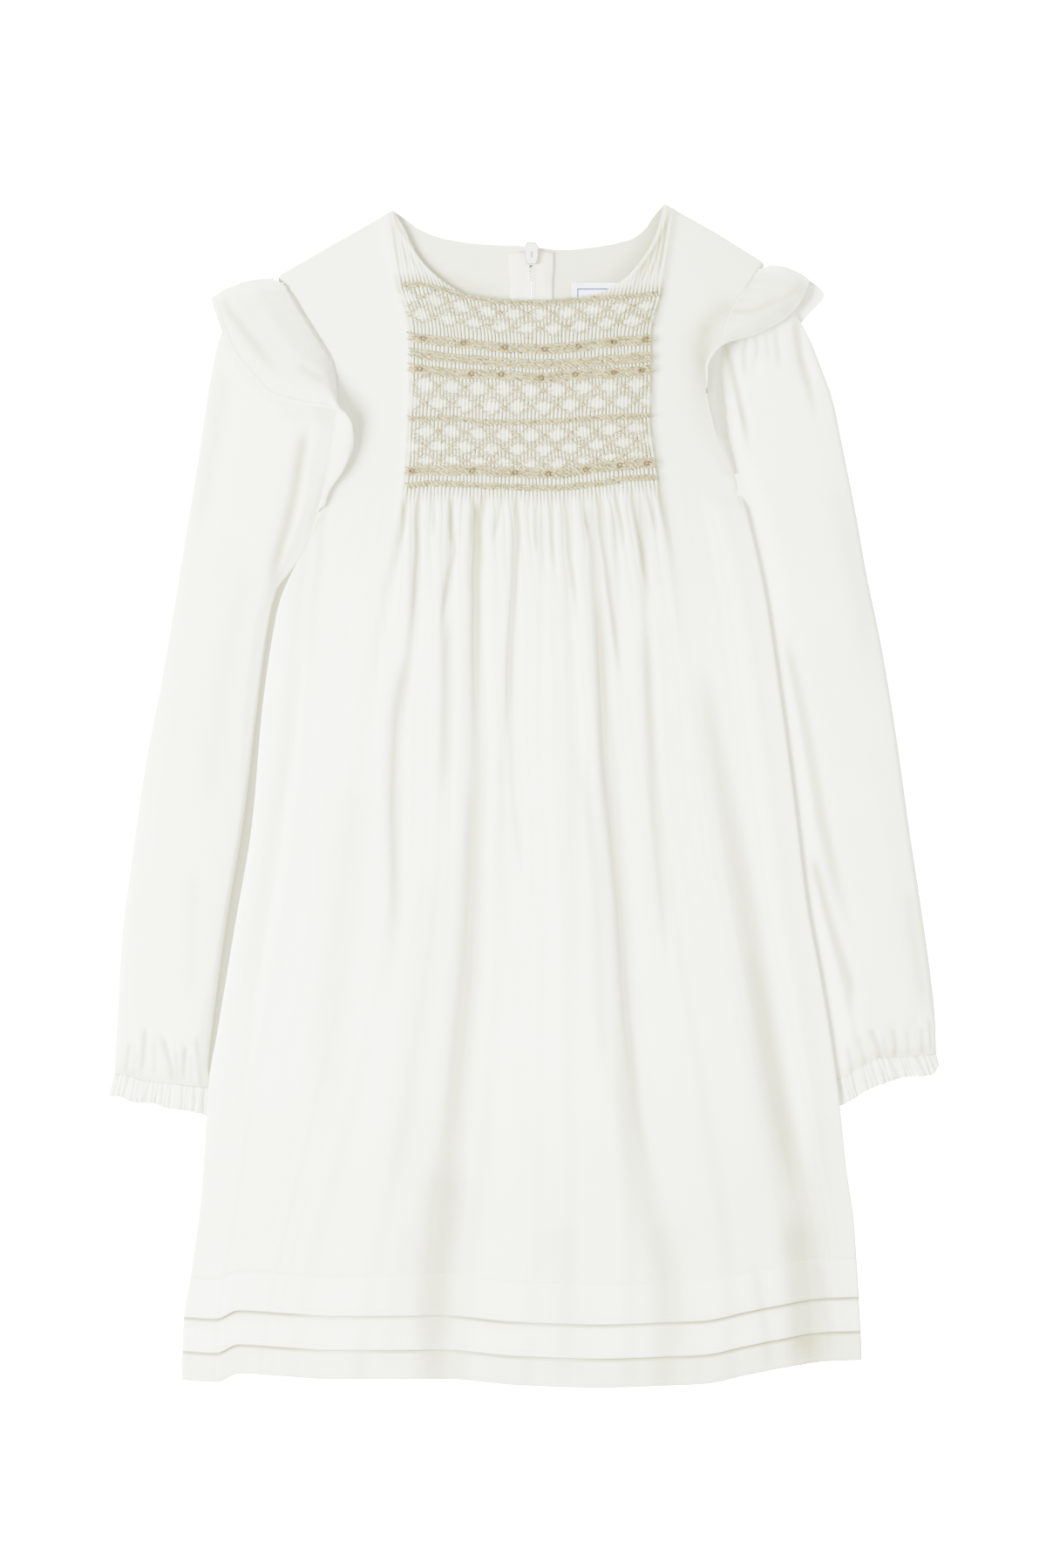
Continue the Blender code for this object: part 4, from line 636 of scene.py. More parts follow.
def skirt_height(place, x, y, up):
    """Height of the skirt: main folds, gathers from the smocking, and wide soft sweeps; and its painted
    shade.
    """
    depth = 0.0
    share = np.clip((CREASE_HEIGHTS[0] - y) / (CREASE_HEIGHTS[0] - CREASE_HEIGHTS[-1]), 0.0, 1.0)
    for path, depths, wide_top, wide_low in CREASES:
        middle = line(CREASE_HEIGHTS, path, y)
        wide = wide_top + (wide_low - wide_top) * share
        depth = depth + line(CREASE_HEIGHTS, depths, y) * np.exp(-(((x - middle) / wide) ** 2))
    depth = np.minimum(depth, 1.0) * ease((SMOCK_LOW - y) / CREASE_START)
    left, right = column(MIDDLE, 0, 1, y), column(MIDDLE, 0, 2, y)
    inside = ease((x - left + 4.0) / 4.0) * ease((right - x + 4.0) / 4.0)
    side = ease((x - left_edge(y)) / 22.0) * ease((right_edge(y) - x) / 22.0)
    raised = np.maximum(inside, side * ease((SMOCK_LOW - y) / 120.0)) * (1.0 - 0.45 * ease(-y / 250.0))
    fold = FOLD_HEIGHT * raised * (1.0 - depth)
    phase = (place - 1.0) * 26.0 + 0.35 * ripple(place * 31.0, y * 0.05 + place * 17.0)
    gathers = np.abs(np.sin(math.pi * phase)) ** 0.8
    soft = 0.55 * (gathers - 0.6) * inside * ease((y - 92.0) / 60.0)
    narrow, wide = grooves(x, up, GATHERS) * inside, grooves(x, up, SWEEPS) * side
    height = FRONT_FLAT_TOP + overlap_lift(x, y) + np.maximum(fold + soft - narrow - wide, -0.2)
    # Painted shade of the skirt: in its creases, gathers and sweeps, in the valleys between the gathers near
    # the smocking, and in uneven streaks down its sides
    painted_shade = 0.78 * depth ** 1.4 + 0.60 * narrow ** 1.4 + 0.55 * np.maximum(wide, 0.0)
    valley = (1.0 - gathers) ** 2 * inside
    streak = ripple(place * 61.0 + 0.3 * np.sin(y * 0.02), place * 97.0 + 2.0, place * 37.0 - y * 0.008)
    painted_shade = painted_shade + valley * (0.34 * ease((y - 118.0) / 46.0) + 0.14 * ease((y + 170.0) / 200.0))
    painted_shade = painted_shade + 0.16 * np.maximum(streak, 0.0) * side
    return height, SKIRT_PAINTED_SHADE_LIMIT * np.tanh(np.maximum(painted_shade, 0.0) / SKIRT_PAINTED_SHADE_LIMIT)


def soft_shade(x, y):
    """How much less light falls on the shoulders, the right side and the hem."""
    above = 0.12 * ease((HEM_WAVE_START - y) / 80.0)
    tucks = np.where(y > TUCK_STITCH, above, np.where(y > TUCK_EDGES[1], 0.06, 0.27))
    return 0.26 * ease((y - 60.0) / 140.0) + tucks + 0.12 * ease(x / 120.0)


def front_height(place, x, y, up, ring=0.0):
    """Height of the front's outer surface at a place and a level row, and its painted shade there."""
    chest, chest_painted_shade = chest_height(place, x, y, up, ring)
    skirt, skirt_painted_shade = skirt_height(place, x, y, up)
    fade = ease((y - SMOCK_LOW + 12.0) / 14.0)
    height = chest * fade + skirt * (1.0 - fade)
    painted_shade = chest_painted_shade * fade + skirt_painted_shade * (1.0 - fade)
    low = column(MIDDLE, 0, 1, y)
    cloth = 0.12 * ripple(x * 0.11 + up * 0.013, x * 0.047 - up * 0.021 + 2.0, up * 0.03 + x * 0.02)
    height = height + cloth * ease((low - x) / 14.0) + cloth * ease((x - column(MIDDLE, 0, 2, y)) / 14.0)
    # Painted shade of the folds, beneath the frills, along the armholes, beside the neck, and where less
    # light falls
    painted_shade = np.clip(painted_shade + grooves(x, up, FRONT_SHADE) + soft_shade(x, y), 0.0, 1.0)
    return np.maximum(height, bottom_limit(x, np.minimum(y, SMOCK_HIGH)) + 0.45), painted_shade


def on_front(x, up):
    """Height of the front's outer surface over a point of the plan."""
    y = up - sag(x, up)
    for _ in range(3):
        y = up - sag(x, y)
    return front_height(front_place(x, y), x, y, up)[0]


# Mesh making

def finish(name, mesh, surface, nodes=(), sharp=None):
    """Turns a bmesh, already in millimetres, into a piece that rides on the dress."""
    bmesh.ops.scale(mesh, vec=(MM, MM, MM), verts=mesh.verts)
    bmesh.ops.recalc_face_normals(mesh, faces=mesh.faces)
    data = bpy.data.meshes.new(name)
    mesh.to_mesh(data)
    mesh.free()
    data.shade_smooth()
    if sharp:
        data.set_sharp_from_angle(angle=math.radians(sharp))
    data.materials.append(surface)
    made = bpy.data.objects.new(name, data)
    bpy.context.scene.collection.objects.link(made)
    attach(made, "root")
    if nodes:
        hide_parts(*nodes)
    return made


def grid_mesh(points, painted_shade, around=False):
    """A grid of quads through a (rows, columns, 3) array. With `around`, its last column meets its first.

    The second array gives the painted shade of each point, from 0 to 1, which darkens the cloth's colour in
    folds, beside and beneath other parts, and where less light falls.
    """
    rows, columns = points.shape[:2]
    mesh = bmesh.new()
    bmesh.ops.create_grid(mesh, x_segments=columns - 1, y_segments=rows - 1, size=1.0)
    layer = mesh.verts.layers.float.new("painted_shade")
    depths = np.clip(np.broadcast_to(painted_shade, (rows, columns)), 0.0, 1.0).reshape(-1)
    for vertex, place, depth in zip(mesh.verts, points.reshape(-1, 3), depths):
        vertex.co = place
        vertex[layer] = depth
    if around:
        mesh.verts.ensure_lookup_table()
        bmesh.ops.remove_doubles(mesh, verts=mesh.verts, dist=1e-4)
    mesh.normal_update()
    return mesh


def thicken(mesh, thickness):
    """Gives a single-sided bmesh a wall, grown on both sides of it."""
    normals = {vertex: vertex.normal.copy() for vertex in mesh.verts}
    for vertex, normal in normals.items():
        vertex.co += normal * thickness * 0.5
    bmesh.ops.solidify(mesh, geom=mesh.faces[:], thickness=thickness)


def scatter(name, template, centres, along, across, up, surface, slot, bend=0.0):
    """Copies of a small shape whose X, Y and Z axes become the given vectors at each centre."""
    single = bpy.data.meshes.new(name + "_shape")
    template.to_mesh(single)
    template.free()
    local = np.array([vertex.co[:] for vertex in single.vertices])
    mesh = bmesh.new()
    for _ in range(len(centres)):
        mesh.from_mesh(single)
    bpy.data.meshes.remove(single)
    arch = 1.0 - local[:, 0] ** 2
    long, wide, tall = (local[None, :, axis:axis + 1] for axis in range(3))
    tall = tall + bend * arch[None, :, None]
    places = (centres[:, None, :] + long * along[:, None, :] + wide * across[:, None, :]
              + tall * up[:, None, :])
    for vertex, place in zip(mesh.verts, places.reshape(-1, 3)):
        vertex.co = place
    return finish(name, mesh, surface)


def spindle(segments, rings):
    """A strand of thread: a long round bead with blunt ends, one unit each way from its middle."""
    mesh = bmesh.new()
    mesh.loops.layers.uv.new("UVMap")
    turn = Matrix.Rotation(math.radians(90.0), 4, "Y")
    bmesh.ops.create_uvsphere(
        mesh, u_segments=segments, v_segments=rings, radius=1.0, matrix=turn, calc_uvs=True)
    for vertex in mesh.verts:
        vertex.co.x = math.copysign(abs(vertex.co.x) ** 0.8, vertex.co.x)
    return mesh


# Materials

def new_group(name, outputs):
    """A shader node group with the given float or colour outputs and one vector input."""
    group = bpy.data.node_groups.new(name, "ShaderNodeTree")
    group.interface.new_socket("Place", in_out="INPUT", socket_type="NodeSocketVector")
    for label, kind in outputs:
        group.interface.new_socket(label, in_out="OUTPUT", socket_type=kind)
    return group, group.nodes.new("NodeGroupInput"), group.nodes.new("NodeGroupOutput")


def node(tree, kind, inputs=(), **settings):
    """A node with some settings, and inputs that are values or other nodes' outputs."""
    made = tree.nodes.new(kind)
    for key, value in settings.items():
        setattr(made, key, value)
    for key, value in dict(inputs).items():
        if isinstance(value, bpy.types.NodeSocket):
            tree.links.new(value, made.inputs[key])
        else:
            made.inputs[key].default_value = value
    return made


def math_node(tree, operation, *values):
    return node(tree, "ShaderNodeMath", enumerate(values), operation=operation).outputs[0]


def new_material(name, values):
    """A material with some inputs of its shader set. Returns it with its node tree and its shader."""
    made = bpy.data.materials.new(name)
    made.use_nodes = True
    shader = made.node_tree.nodes["Principled BSDF"]
    for key, value in values.items():
        shader.inputs[key].default_value = value
    return made, made.node_tree, shader


def mix_colours(tree, share, first, second, blend="MIX"):
    """A mix of two colours, each one a value or another node's output."""
    made = node(tree, "ShaderNodeMix", {"Factor": share}, data_type="RGBA", blend_type=blend)
    sockets = [socket for socket in made.inputs if socket.type == "RGBA"]
    for socket, colour in zip(sockets, (first, second)):
        if isinstance(colour, bpy.types.NodeSocket):
            tree.links.new(colour, socket)
        else:
            socket.default_value = colour
    return [socket for socket in made.outputs if socket.type == "RGBA"][0]


def add_bump(tree, shader, height, strength, distance):
    bump = node(tree, "ShaderNodeBump", {"Height": height, "Strength": strength, "Distance": distance})
    tree.links.new(bump.outputs[0], shader.inputs["Normal"])


def uneven_roughness(tree, shader, scale, detail, low, high):
    """Roughness that wanders between two values. Returns the noise that it follows."""
    place = node(tree, "ShaderNodeTexCoord").outputs["Object"]
    noise = node(tree, "ShaderNodeTexNoise", {"Vector": place, "Scale": scale, "Detail": detail})
    rough = node(tree, "ShaderNodeMapRange", {"Value": noise.outputs["Fac"], "To Min": low, "To Max": high})
    tree.links.new(rough.outputs[0], shader.inputs["Roughness"])
    return noise.outputs["Fac"]


def thread_waves(tree, place, axis, pitch):
    """Rounded ridges of threads along one axis."""
    parts = node(tree, "ShaderNodeSeparateXYZ", {0: place})
    turned = math_node(tree, "MULTIPLY", parts.outputs[axis], 2.0 * math.pi / pitch)
    return math_node(tree, "SINE", turned)


def weave_group():
    """Crinkled plain weave: height of its threads, slubs that run down the cloth, and a faint mottle."""
    tree, given, result = new_group("crepe_weave", [
        (label, "NodeSocketFloat") for label in ("Height", "Mottle", "Slub")
    ])
    place = given.outputs["Place"]

    def noise(where, scale, detail, rough=0.5, output="Fac"):
        inputs = {"Vector": where, "Scale": scale, "Detail": detail, "Roughness": rough}
        return node(tree, "ShaderNodeTexNoise", inputs).outputs[output]

    bent = noise(place, 900.0, 2.0, output="Color")
    moved = node(tree, "ShaderNodeVectorMath", {0: bent, 1: (THREAD_BEND,) * 3},
                 operation="MULTIPLY").outputs[0]
    place_bent = node(tree, "ShaderNodeVectorMath", {0: place, 1: moved}, operation="ADD").outputs[0]
    warp = thread_waves(tree, place_bent, 0, WARP_PITCH)
    weft = thread_waves(tree, place_bent, 1, WEFT_PITCH)
    threads = math_node(tree, "MAXIMUM", warp, weft)
    crinkle = noise(place, 1500.0, 3.0, 0.6)
    long_way = node(tree, "ShaderNodeMapping", {"Vector": place, "Scale": (1.0, 0.03, 1.0)})
    slub = noise(long_way.outputs[0], 700.0, 3.0)
    mottle = noise(place, 38.0, 4.0, 0.55)
    height = math_node(tree, "MULTIPLY_ADD", threads, 0.32, crinkle)
    height = math_node(tree, "MULTIPLY_ADD", slub, 0.5, height)
    for label, value in (("Height", height), ("Mottle", mottle), ("Slub", slub)):
        tree.links.new(value, result.inputs[label])
    return tree


def cloth_material(name, light, dark, weave, depth=0.00012, sheen=0.25, rough=0.86):
    """Woven cloth whose colour wanders between two tones and is darkened by painted shade, with a soft sheen.
    """
    made, tree, shader = new_material(name, {
        "Roughness": rough, "Sheen Weight": sheen, "Sheen Roughness": 0.5, "Specular IOR Level": 0.2,
    })
    place = node(tree, "ShaderNodeTexCoord").outputs["Object"]
    cloth = node(tree, "ShaderNodeGroup", {}, node_tree=weave)
    tree.links.new(place, cloth.inputs["Place"])
    mixed = math_node(tree, "MULTIPLY_ADD", cloth.outputs["Slub"], 0.45, cloth.outputs["Mottle"])
    share = node(tree, "ShaderNodeMapRange", {"Value": mixed, "From Min": 0.5, "From Max": 0.95}).outputs[0]
    colour = mix_colours(tree, share, light, dark)
    # Painted shade: the cloth's colour is multiplied towards SHADE by the painted shade stored on the mesh's
    # points
    painted_shade = node(tree, "ShaderNodeAttribute", {}, attribute_name="painted_shade").outputs["Fac"]
    shaded = mix_colours(tree, painted_shade, colour, SHADE, "MULTIPLY")
    tree.links.new(shaded, shader.inputs["Base Color"])
    add_bump(tree, shader, cloth.outputs["Height"], 0.55, depth)
    return made


def thread_material(name, light, dark):
    """Twisted embroidery thread: plies wound round each strand with painted shade in the grooves between
    them, and strands that differ a little in tone.
    """
    made, tree, shader = new_material(name, {
        "Roughness": 0.7, "Sheen Weight": 0.2, "Specular IOR Level": 0.25,
    })
    coords = node(tree, "ShaderNodeTexCoord")
    parts = node(tree, "ShaderNodeSeparateXYZ", {0: coords.outputs["UV"]})
    wound = math_node(tree, "MULTIPLY_ADD", parts.outputs[1], 5.0, parts.outputs[0])
    ply = math_node(tree, "SINE", math_node(tree, "MULTIPLY", wound, 4.0 * math.pi))
    place = coords.outputs["Object"]
    noise, fuzz = (
        node(tree, "ShaderNodeTexNoise", {"Vector": place, "Scale": scale, "Detail": detail})
        for scale, detail in ((750.0, 3.0), (5200.0, 2.0))
    )
    height = math_node(tree, "MULTIPLY_ADD", ply, 0.5, fuzz.outputs["Fac"])
    # Painted shade: the grooves between the plies are darker; the noise gives each strand its own tone
    share = math_node(tree, "MULTIPLY_ADD", ply, -0.16, noise.outputs["Fac"])
    share = node(tree, "ShaderNodeMapRange", {"Value": share, "From Min": 0.36, "From Max": 0.64}).outputs[0]
    tree.links.new(mix_colours(tree, share, light, dark), shader.inputs["Base Color"])
    add_bump(tree, shader, height, 0.6, 0.0001)
    return made


WEAVE = weave_group()
IVORY = cloth_material("ivory_crepe", (0.858, 0.89, 0.72, 1.0), (0.818, 0.85, 0.67, 1.0), WEAVE)
# The back's cloth: the ivory crepe, darker and warmer with painted shade, as the inside of the back neck lies
# in shade
IVORY_WITH_PAINTED_SHADE = cloth_material(
    "ivory_crepe_with_painted_shade", (0.80, 0.81, 0.635, 1.0), (0.76, 0.77, 0.60, 1.0), WEAVE, 0.0001)
# The zip tape's own beige, darkened further with painted shade to match the shaded inside of the back
TAPE = cloth_material(
    "zip_tape_weave", (0.71, 0.675, 0.52, 1.0), (0.67, 0.635, 0.48, 1.0), WEAVE, 0.00016, 0.1, 0.75)
GOLD = thread_material("beige_gold_thread", (0.37, 0.315, 0.125, 1.0), (0.085, 0.065, 0.015, 1.0))
DEEP = thread_material("deep_gold_thread", (0.15, 0.10, 0.03, 1.0), (0.04, 0.025, 0.006, 1.0))
PALE = thread_material("pale_gold_thread", (0.46, 0.39, 0.17, 1.0), (0.16, 0.12, 0.035, 1.0))
SEWING = thread_material("ivory_sewing_thread", (0.84, 0.835, 0.77, 1.0), (0.76, 0.75, 0.68, 1.0))


# The front

# The tucks and the hem. Each row: height up the dress, rise above the plain skirt, painted shade
HEM_ROWS = (
    (TUCK_STITCH + 1.5, 0.15, 0.05), (TUCK_STITCH, -0.1, 0.3), (TUCK_STITCH - 1.5, 0.35, 0.0),
    (TUCK_STITCH - 7.0, 1.0, 0.0), (TUCK_EDGES[0] + 6.0, 1.6, 0.0), (TUCK_EDGES[0] + 2.0, 1.85, 0.0),
    (TUCK_EDGES[0] + 0.6, 1.8, 0.0), (TUCK_EDGES[0], 1.45, 0.3), (TUCK_EDGES[0] + 0.5, 1.1, 0.8),
    (TUCK_EDGES[0] + 2.5, 1.0, 1.0), (TUCK_EDGES[0] + 5.0, 0.95, 1.0), (TUCK_EDGES[0] + 5.0, 0.3, 1.0),
    (TUCK_EDGES[0], 0.3, 1.0), (TUCK_EDGES[0] - 1.0, 0.35, 1.0), (TUCK_EDGES[0] - 2.3, 0.45, 0.25),
    (TUCK_EDGES[0] - 7.0, 0.75, 0.0), (TUCK_EDGES[1] + 6.0, 1.3, 0.0), (TUCK_EDGES[1] + 2.0, 1.65, 0.0),
    (TUCK_EDGES[1] + 0.6, 1.6, 0.0), (TUCK_EDGES[1], 1.25, 0.3), (TUCK_EDGES[1] + 0.5, 0.95, 0.8),
    (TUCK_EDGES[1] + 2.5, 0.9, 1.0), (TUCK_EDGES[1] + 5.0, 0.85, 1.0), (TUCK_EDGES[1] + 5.0, 0.25, 1.0),
    (TUCK_EDGES[1], 0.25, 1.0), (TUCK_EDGES[1] - 1.0, 0.3, 1.0), (TUCK_EDGES[1] - 2.3, 0.4, 0.25),
    (TUCK_EDGES[1] - 6.0, 0.5, 0.0), (HEM + 3.0, 0.6, 0.0), (HEM + 0.8, 0.5, 0.1), (HEM, 0.1, 0.3),
    (HEM + 0.3, -0.35, 0.6), (HEM + 3.0, -0.5, 0.6), (HEM + 12.0, -0.5, 0.6),
)


def front_points():
    """The front as one sheet: neck edge turned under, smocked chest, skirt, two tucks, and a turned hem."""
    flank = 1.0 - np.linspace(1.0, 0.0, 24, endpoint=False)
    middle = 1.0 + np.arange(6 * PLEATS + 1) / (6.0 * PLEATS)
    far_flank = 2.0 + np.linspace(0.0, 1.0, 25)
    place = np.concatenate(([0.0, 0.0], flank, middle[:-1], far_flank, [3.0, 3.0]))[None, :]
    rows = []

    def level(y):
        x = front_x(place, y)
        up = y + sag(x, y)
        height, painted_shade = front_height(place, x, np.full(x.shape, y), up)
        # The pleats and gathers don't hang quite straight
        gathered = ease((place - 1.02) / 0.04) * ease((1.98 - place) / 0.04) * ease((y - 60.0) / 80.0)
        sway = 0.42 * gathered * ripple(up * 0.21 + place * 29.0, up * 0.12 + place * 47.0)
        rows.append([x + sway, up, height, painted_shade])

    # From the neck edge to the first smocked row
    x0 = front_x(place, SMOCK_HIGH)
    up0 = SMOCK_HIGH + sag(x0, SMOCK_HIGH)
    aside = (x0 - 3.0) / 69.0
    x1 = x0 + NECK_FAN * aside * np.abs(aside) ** 1.2
    left, right = FRONT_TOP_EDGE[0][0], FRONT_TOP_EDGE[-1][0]
    x1 = np.where(place < 1.0, left + (MIDDLE[0][1] - NECK_FAN - left) * place, x1)
    x1 = np.where(place > 2.0, right + (MIDDLE[0][2] + NECK_FAN - right) * (3.0 - place), x1)
    up1 = top_height(x1, FRONT_TOP_EDGE)
    edge, edge_painted_shade = front_height(place, x1, np.full(x1.shape, SMOCK_HIGH), up1, 1.0)
    # Rows of the neck edge turned under, with more painted shade the further down they turn
    for inward, drop in ((5.0, 1.15), (1.2, 1.15), (0.15, 1.0), (-0.1, 0.6), (0.0, 0.2)):
        under = np.maximum(edge - drop, BACK_TOP + SEAM_GAP)
        rows.append([x1, up1 - inward, under, edge_painted_shade + 0.2 * drop])
    for ring in np.linspace(0.985, 0.0, 15)[:-1]:
        x, up = x0 + (x1 - x0) * ring, up0 + (up1 - up0) * ring
        rows.append([x, up, *front_height(place, x, np.full(x.shape, SMOCK_HIGH), up, ring)])
    gathers = np.arange(150.0, 90.0, -2.6)
    skirt = np.linspace(90.0, TUCK_STITCH + 4.0, 62)
    for y in np.concatenate((np.arange(SMOCK_HIGH, 150.0, -1.5), gathers, skirt)):
        level(y)
    # The tucks and the hem
    for y, rise, dark in HEM_ROWS:
        x = front_x(place, y)
        up = y + sag(x, y)
        height, painted_shade = skirt_height(place, x, np.full(x.shape, y), up)
        height = np.maximum(height + rise, BACK_TOP + 0.2 + overlap_lift(x, y))
        # Painted shade beneath the folds of the tucks and the hem, uneven along them and stronger towards the
        # sides
        uneven = 0.85 + 0.3 * ripple(x * 0.045 + y, x * 0.11 - y, x * 0.021)
        uneven = uneven + 0.3 * ease((np.abs(x) - 100.0) / 40.0)
        shade = np.maximum(painted_shade + soft_shade(x, y), dark * uneven)
        rows.append([x, up, height, np.clip(shade, 0.0, 1.0)])
    points = np.array([
        np.stack([np.broadcast_to(part, place.shape)[0] for part in row], axis=1) for row in rows
    ])
    # The side edges turn down to the back
    for end, inside in ((0, 1), (-1, -1)):
        floor = BACK_TOP + 0.25 + overlap_lift(points[:, end, 0], points[:, end, 1])
        top = points[:, end, 2].copy()
        points[:, end, 2] = np.minimum(floor, top)
        points[:, end + inside, 2] = floor + (top - floor) * 0.6
        points[:, end + inside * 2, 0] += 0.55 * inside
    return points


def make_front():
    points = front_points()
    mesh = grid_mesh(points[:, :, :3], points[:, :, 3])
    return finish("front_panel", mesh, IVORY, ["front"])


# The back

def zip_half_gap(y):
    return CLOSED_HALF_GAP + (SLIDER_HALF_GAP - CLOSED_HALF_GAP) * ease((y - SLIDER_LOW + 6.0) / 4.0)


# Soft shade where the front's neck edge lies on the back, in photo pixels: points, strength, half width
BACK_SHADOW = (
    (((445, 235), (455, 262), (466, 285), (484, 305), (510, 322), (545, 334), (585, 340), (625, 342)),
     0.30, 5.0),
    (((765, 232), (752, 262), (740, 288), (720, 312), (697, 332), (665, 340), (625, 342)), 0.34, 7.0),
    (((610, 300), (610, 320), (610, 345)), 0.25, 3.0),
)
# Shade of the inside of the neck
NECK_SHADE = {"left": 0.40, "right": 0.50}


def make_back(side):
    """One half of the back, from the centre-back zip to the side seam."""
    turn, edge = TURNS[side], EDGES[side]
    end = 0 if side == "left" else -1
    across = np.concatenate((np.linspace(0.0, 0.1, 9)[:-1], np.linspace(0.1, 1.0, 40)))[None, :]
    top_x = ZIP_X + turn * SLIDER_HALF_GAP
    top_x = top_x + (BACK_TOP_EDGE[end][0] - ZIP_X - turn * SLIDER_HALF_GAP) * across
    tip = NECK_TIPS[end]
    top_x[0, np.argmin(np.abs(top_x - tip))] = tip
    top_up = top_height(top_x, BACK_TOP_EDGE)
    tab_gap = turn * zip_half_gap(TAB_LOW)
    low_x = ZIP_X + tab_gap + (edge(TAB_LOW) - ZIP_X - tab_gap) * across
    rows = []
    for share in np.linspace(1.0, 0.0, 26)[:-1]:
        rows.append([low_x + (top_x - low_x) * share, TAB_LOW + (top_up - TAB_LOW) * share])
    for y in np.linspace(TAB_LOW, HEM, 130):
        start = ZIP_X + turn * zip_half_gap(y)
        x = start + (edge(y) - start) * across
        rows.append([x, y + sag(x, np.minimum(y, SMOCK_LOW - 90.0))])
    points = []
    for x, up in rows:
        z = back_under(x, up) + 0.52 + 0.04 * ripple(x * 0.2, up * 0.1 + x * 0.05)
        points.append(np.stack([x[0], np.broadcast_to(up, x.shape)[0], z[0]], axis=1))
    points = np.array(points)
    # Painted shade of the back: the shadow of the front's neck edge, and the shade of the inside of the neck
    painted_shade = grooves(points[:, :, 0], points[:, :, 1], BACK_SHADOW)
    painted_shade = painted_shade + NECK_SHADE[side] * ease((points[:, :, 1] - 240.0) / 20.0)
    mesh = grid_mesh(points, painted_shade)
    thicken(mesh, BACK_CLOTH)
    return finish("back_%s_panel" % side, mesh, IVORY_WITH_PAINTED_SHADE, ["back_" + side], sharp=60)


# Sleeves and cuffs

def armhole_curve(side, share):
    """Points on a side's armhole seam, from the shoulder (0) to the underarm (1)."""
    shape = SLEEVES[side]
    turn, edge = TURNS[side], EDGES[side]
    points = [shape["outer"][0]]
    heights = [y for y in ARMHOLE_ROWS if UNDERARM + 1.0 < y < shape["shoulder"] - 1.0]
    for above, y, below in zip([shape["shoulder"]] + heights, heights, heights[1:] + [UNDERARM]):
        along = np.array([edge(below) - edge(above), below - above])
        along /= np.linalg.norm(along)
        points.append((edge(y) - turn * along[1] * SLEEVE_SEAM_GAP, y + turn * along[0] * SLEEVE_SEAM_GAP))
    points.append(shape["inner"][0])
    return point_along(np.array(points), share)


def sleeve_plan(side, across, down):
    """Plan of a sleeve: straight across, but curved at the armhole and the wrist."""
    shape = SLEEVES[side]
    outer, inner = point_along(shape["outer"], down), point_along(shape["inner"], down)
    plan = outer + (inner - outer) * across
    wrist = shape["wrist"]
    head_weight, wrist_weight = 1.0 - ease(down / ARMHOLE_BLEND), ease((down - 0.9) / 0.1)
    for curve, start, end, weight in (
        (armhole_curve(side, across), shape["outer"][0], shape["inner"][0], head_weight),
        (point_along(wrist, across), wrist[0], wrist[-1], wrist_weight),
    ):
        start, end = np.array(start)[:, None, None], np.array(end)[:, None, None]
        plan = plan + (curve - start - (end - start) * across) * weight
    # Below the armhole the inner edge lies close to the body
    x, y = plan
    turn = TURNS[side]
    apart = (column(shape["inner"], 1, 0, y) - EDGES[side](y)) * turn
    near = ease((y - 102.0) / 26.0) * ease((165.0 - y) / 12.0)
    if side == "left":
        near = np.maximum(near, 0.22 + 0.78 * ease((-140.0 - y) / 14.0)) * ease((165.0 - y) / 12.0)
    x = x - turn * (np.maximum(apart, -0.6) + 0.6) * near * ease((across - 0.5) / 0.45)
    return np.array([x, y])


def sleeve_floor(y, down):
    """Underside of a sleeve: on the surface, or on the frill of the back armhole."""
    return (WALL + 1.5 * SEAM_GAP) * (1.0 - ease((down - 0.16) / 0.1)) * ease((y - SLEEVE_DOWN) / 12.0)


def seam_top(y):
    """Height of a sleeve's upper surface where it meets the body."""
    return SLEEVE_SEAM_TOP + 0.9 * ease((y - SLEEVE_DOWN) / 12.0)


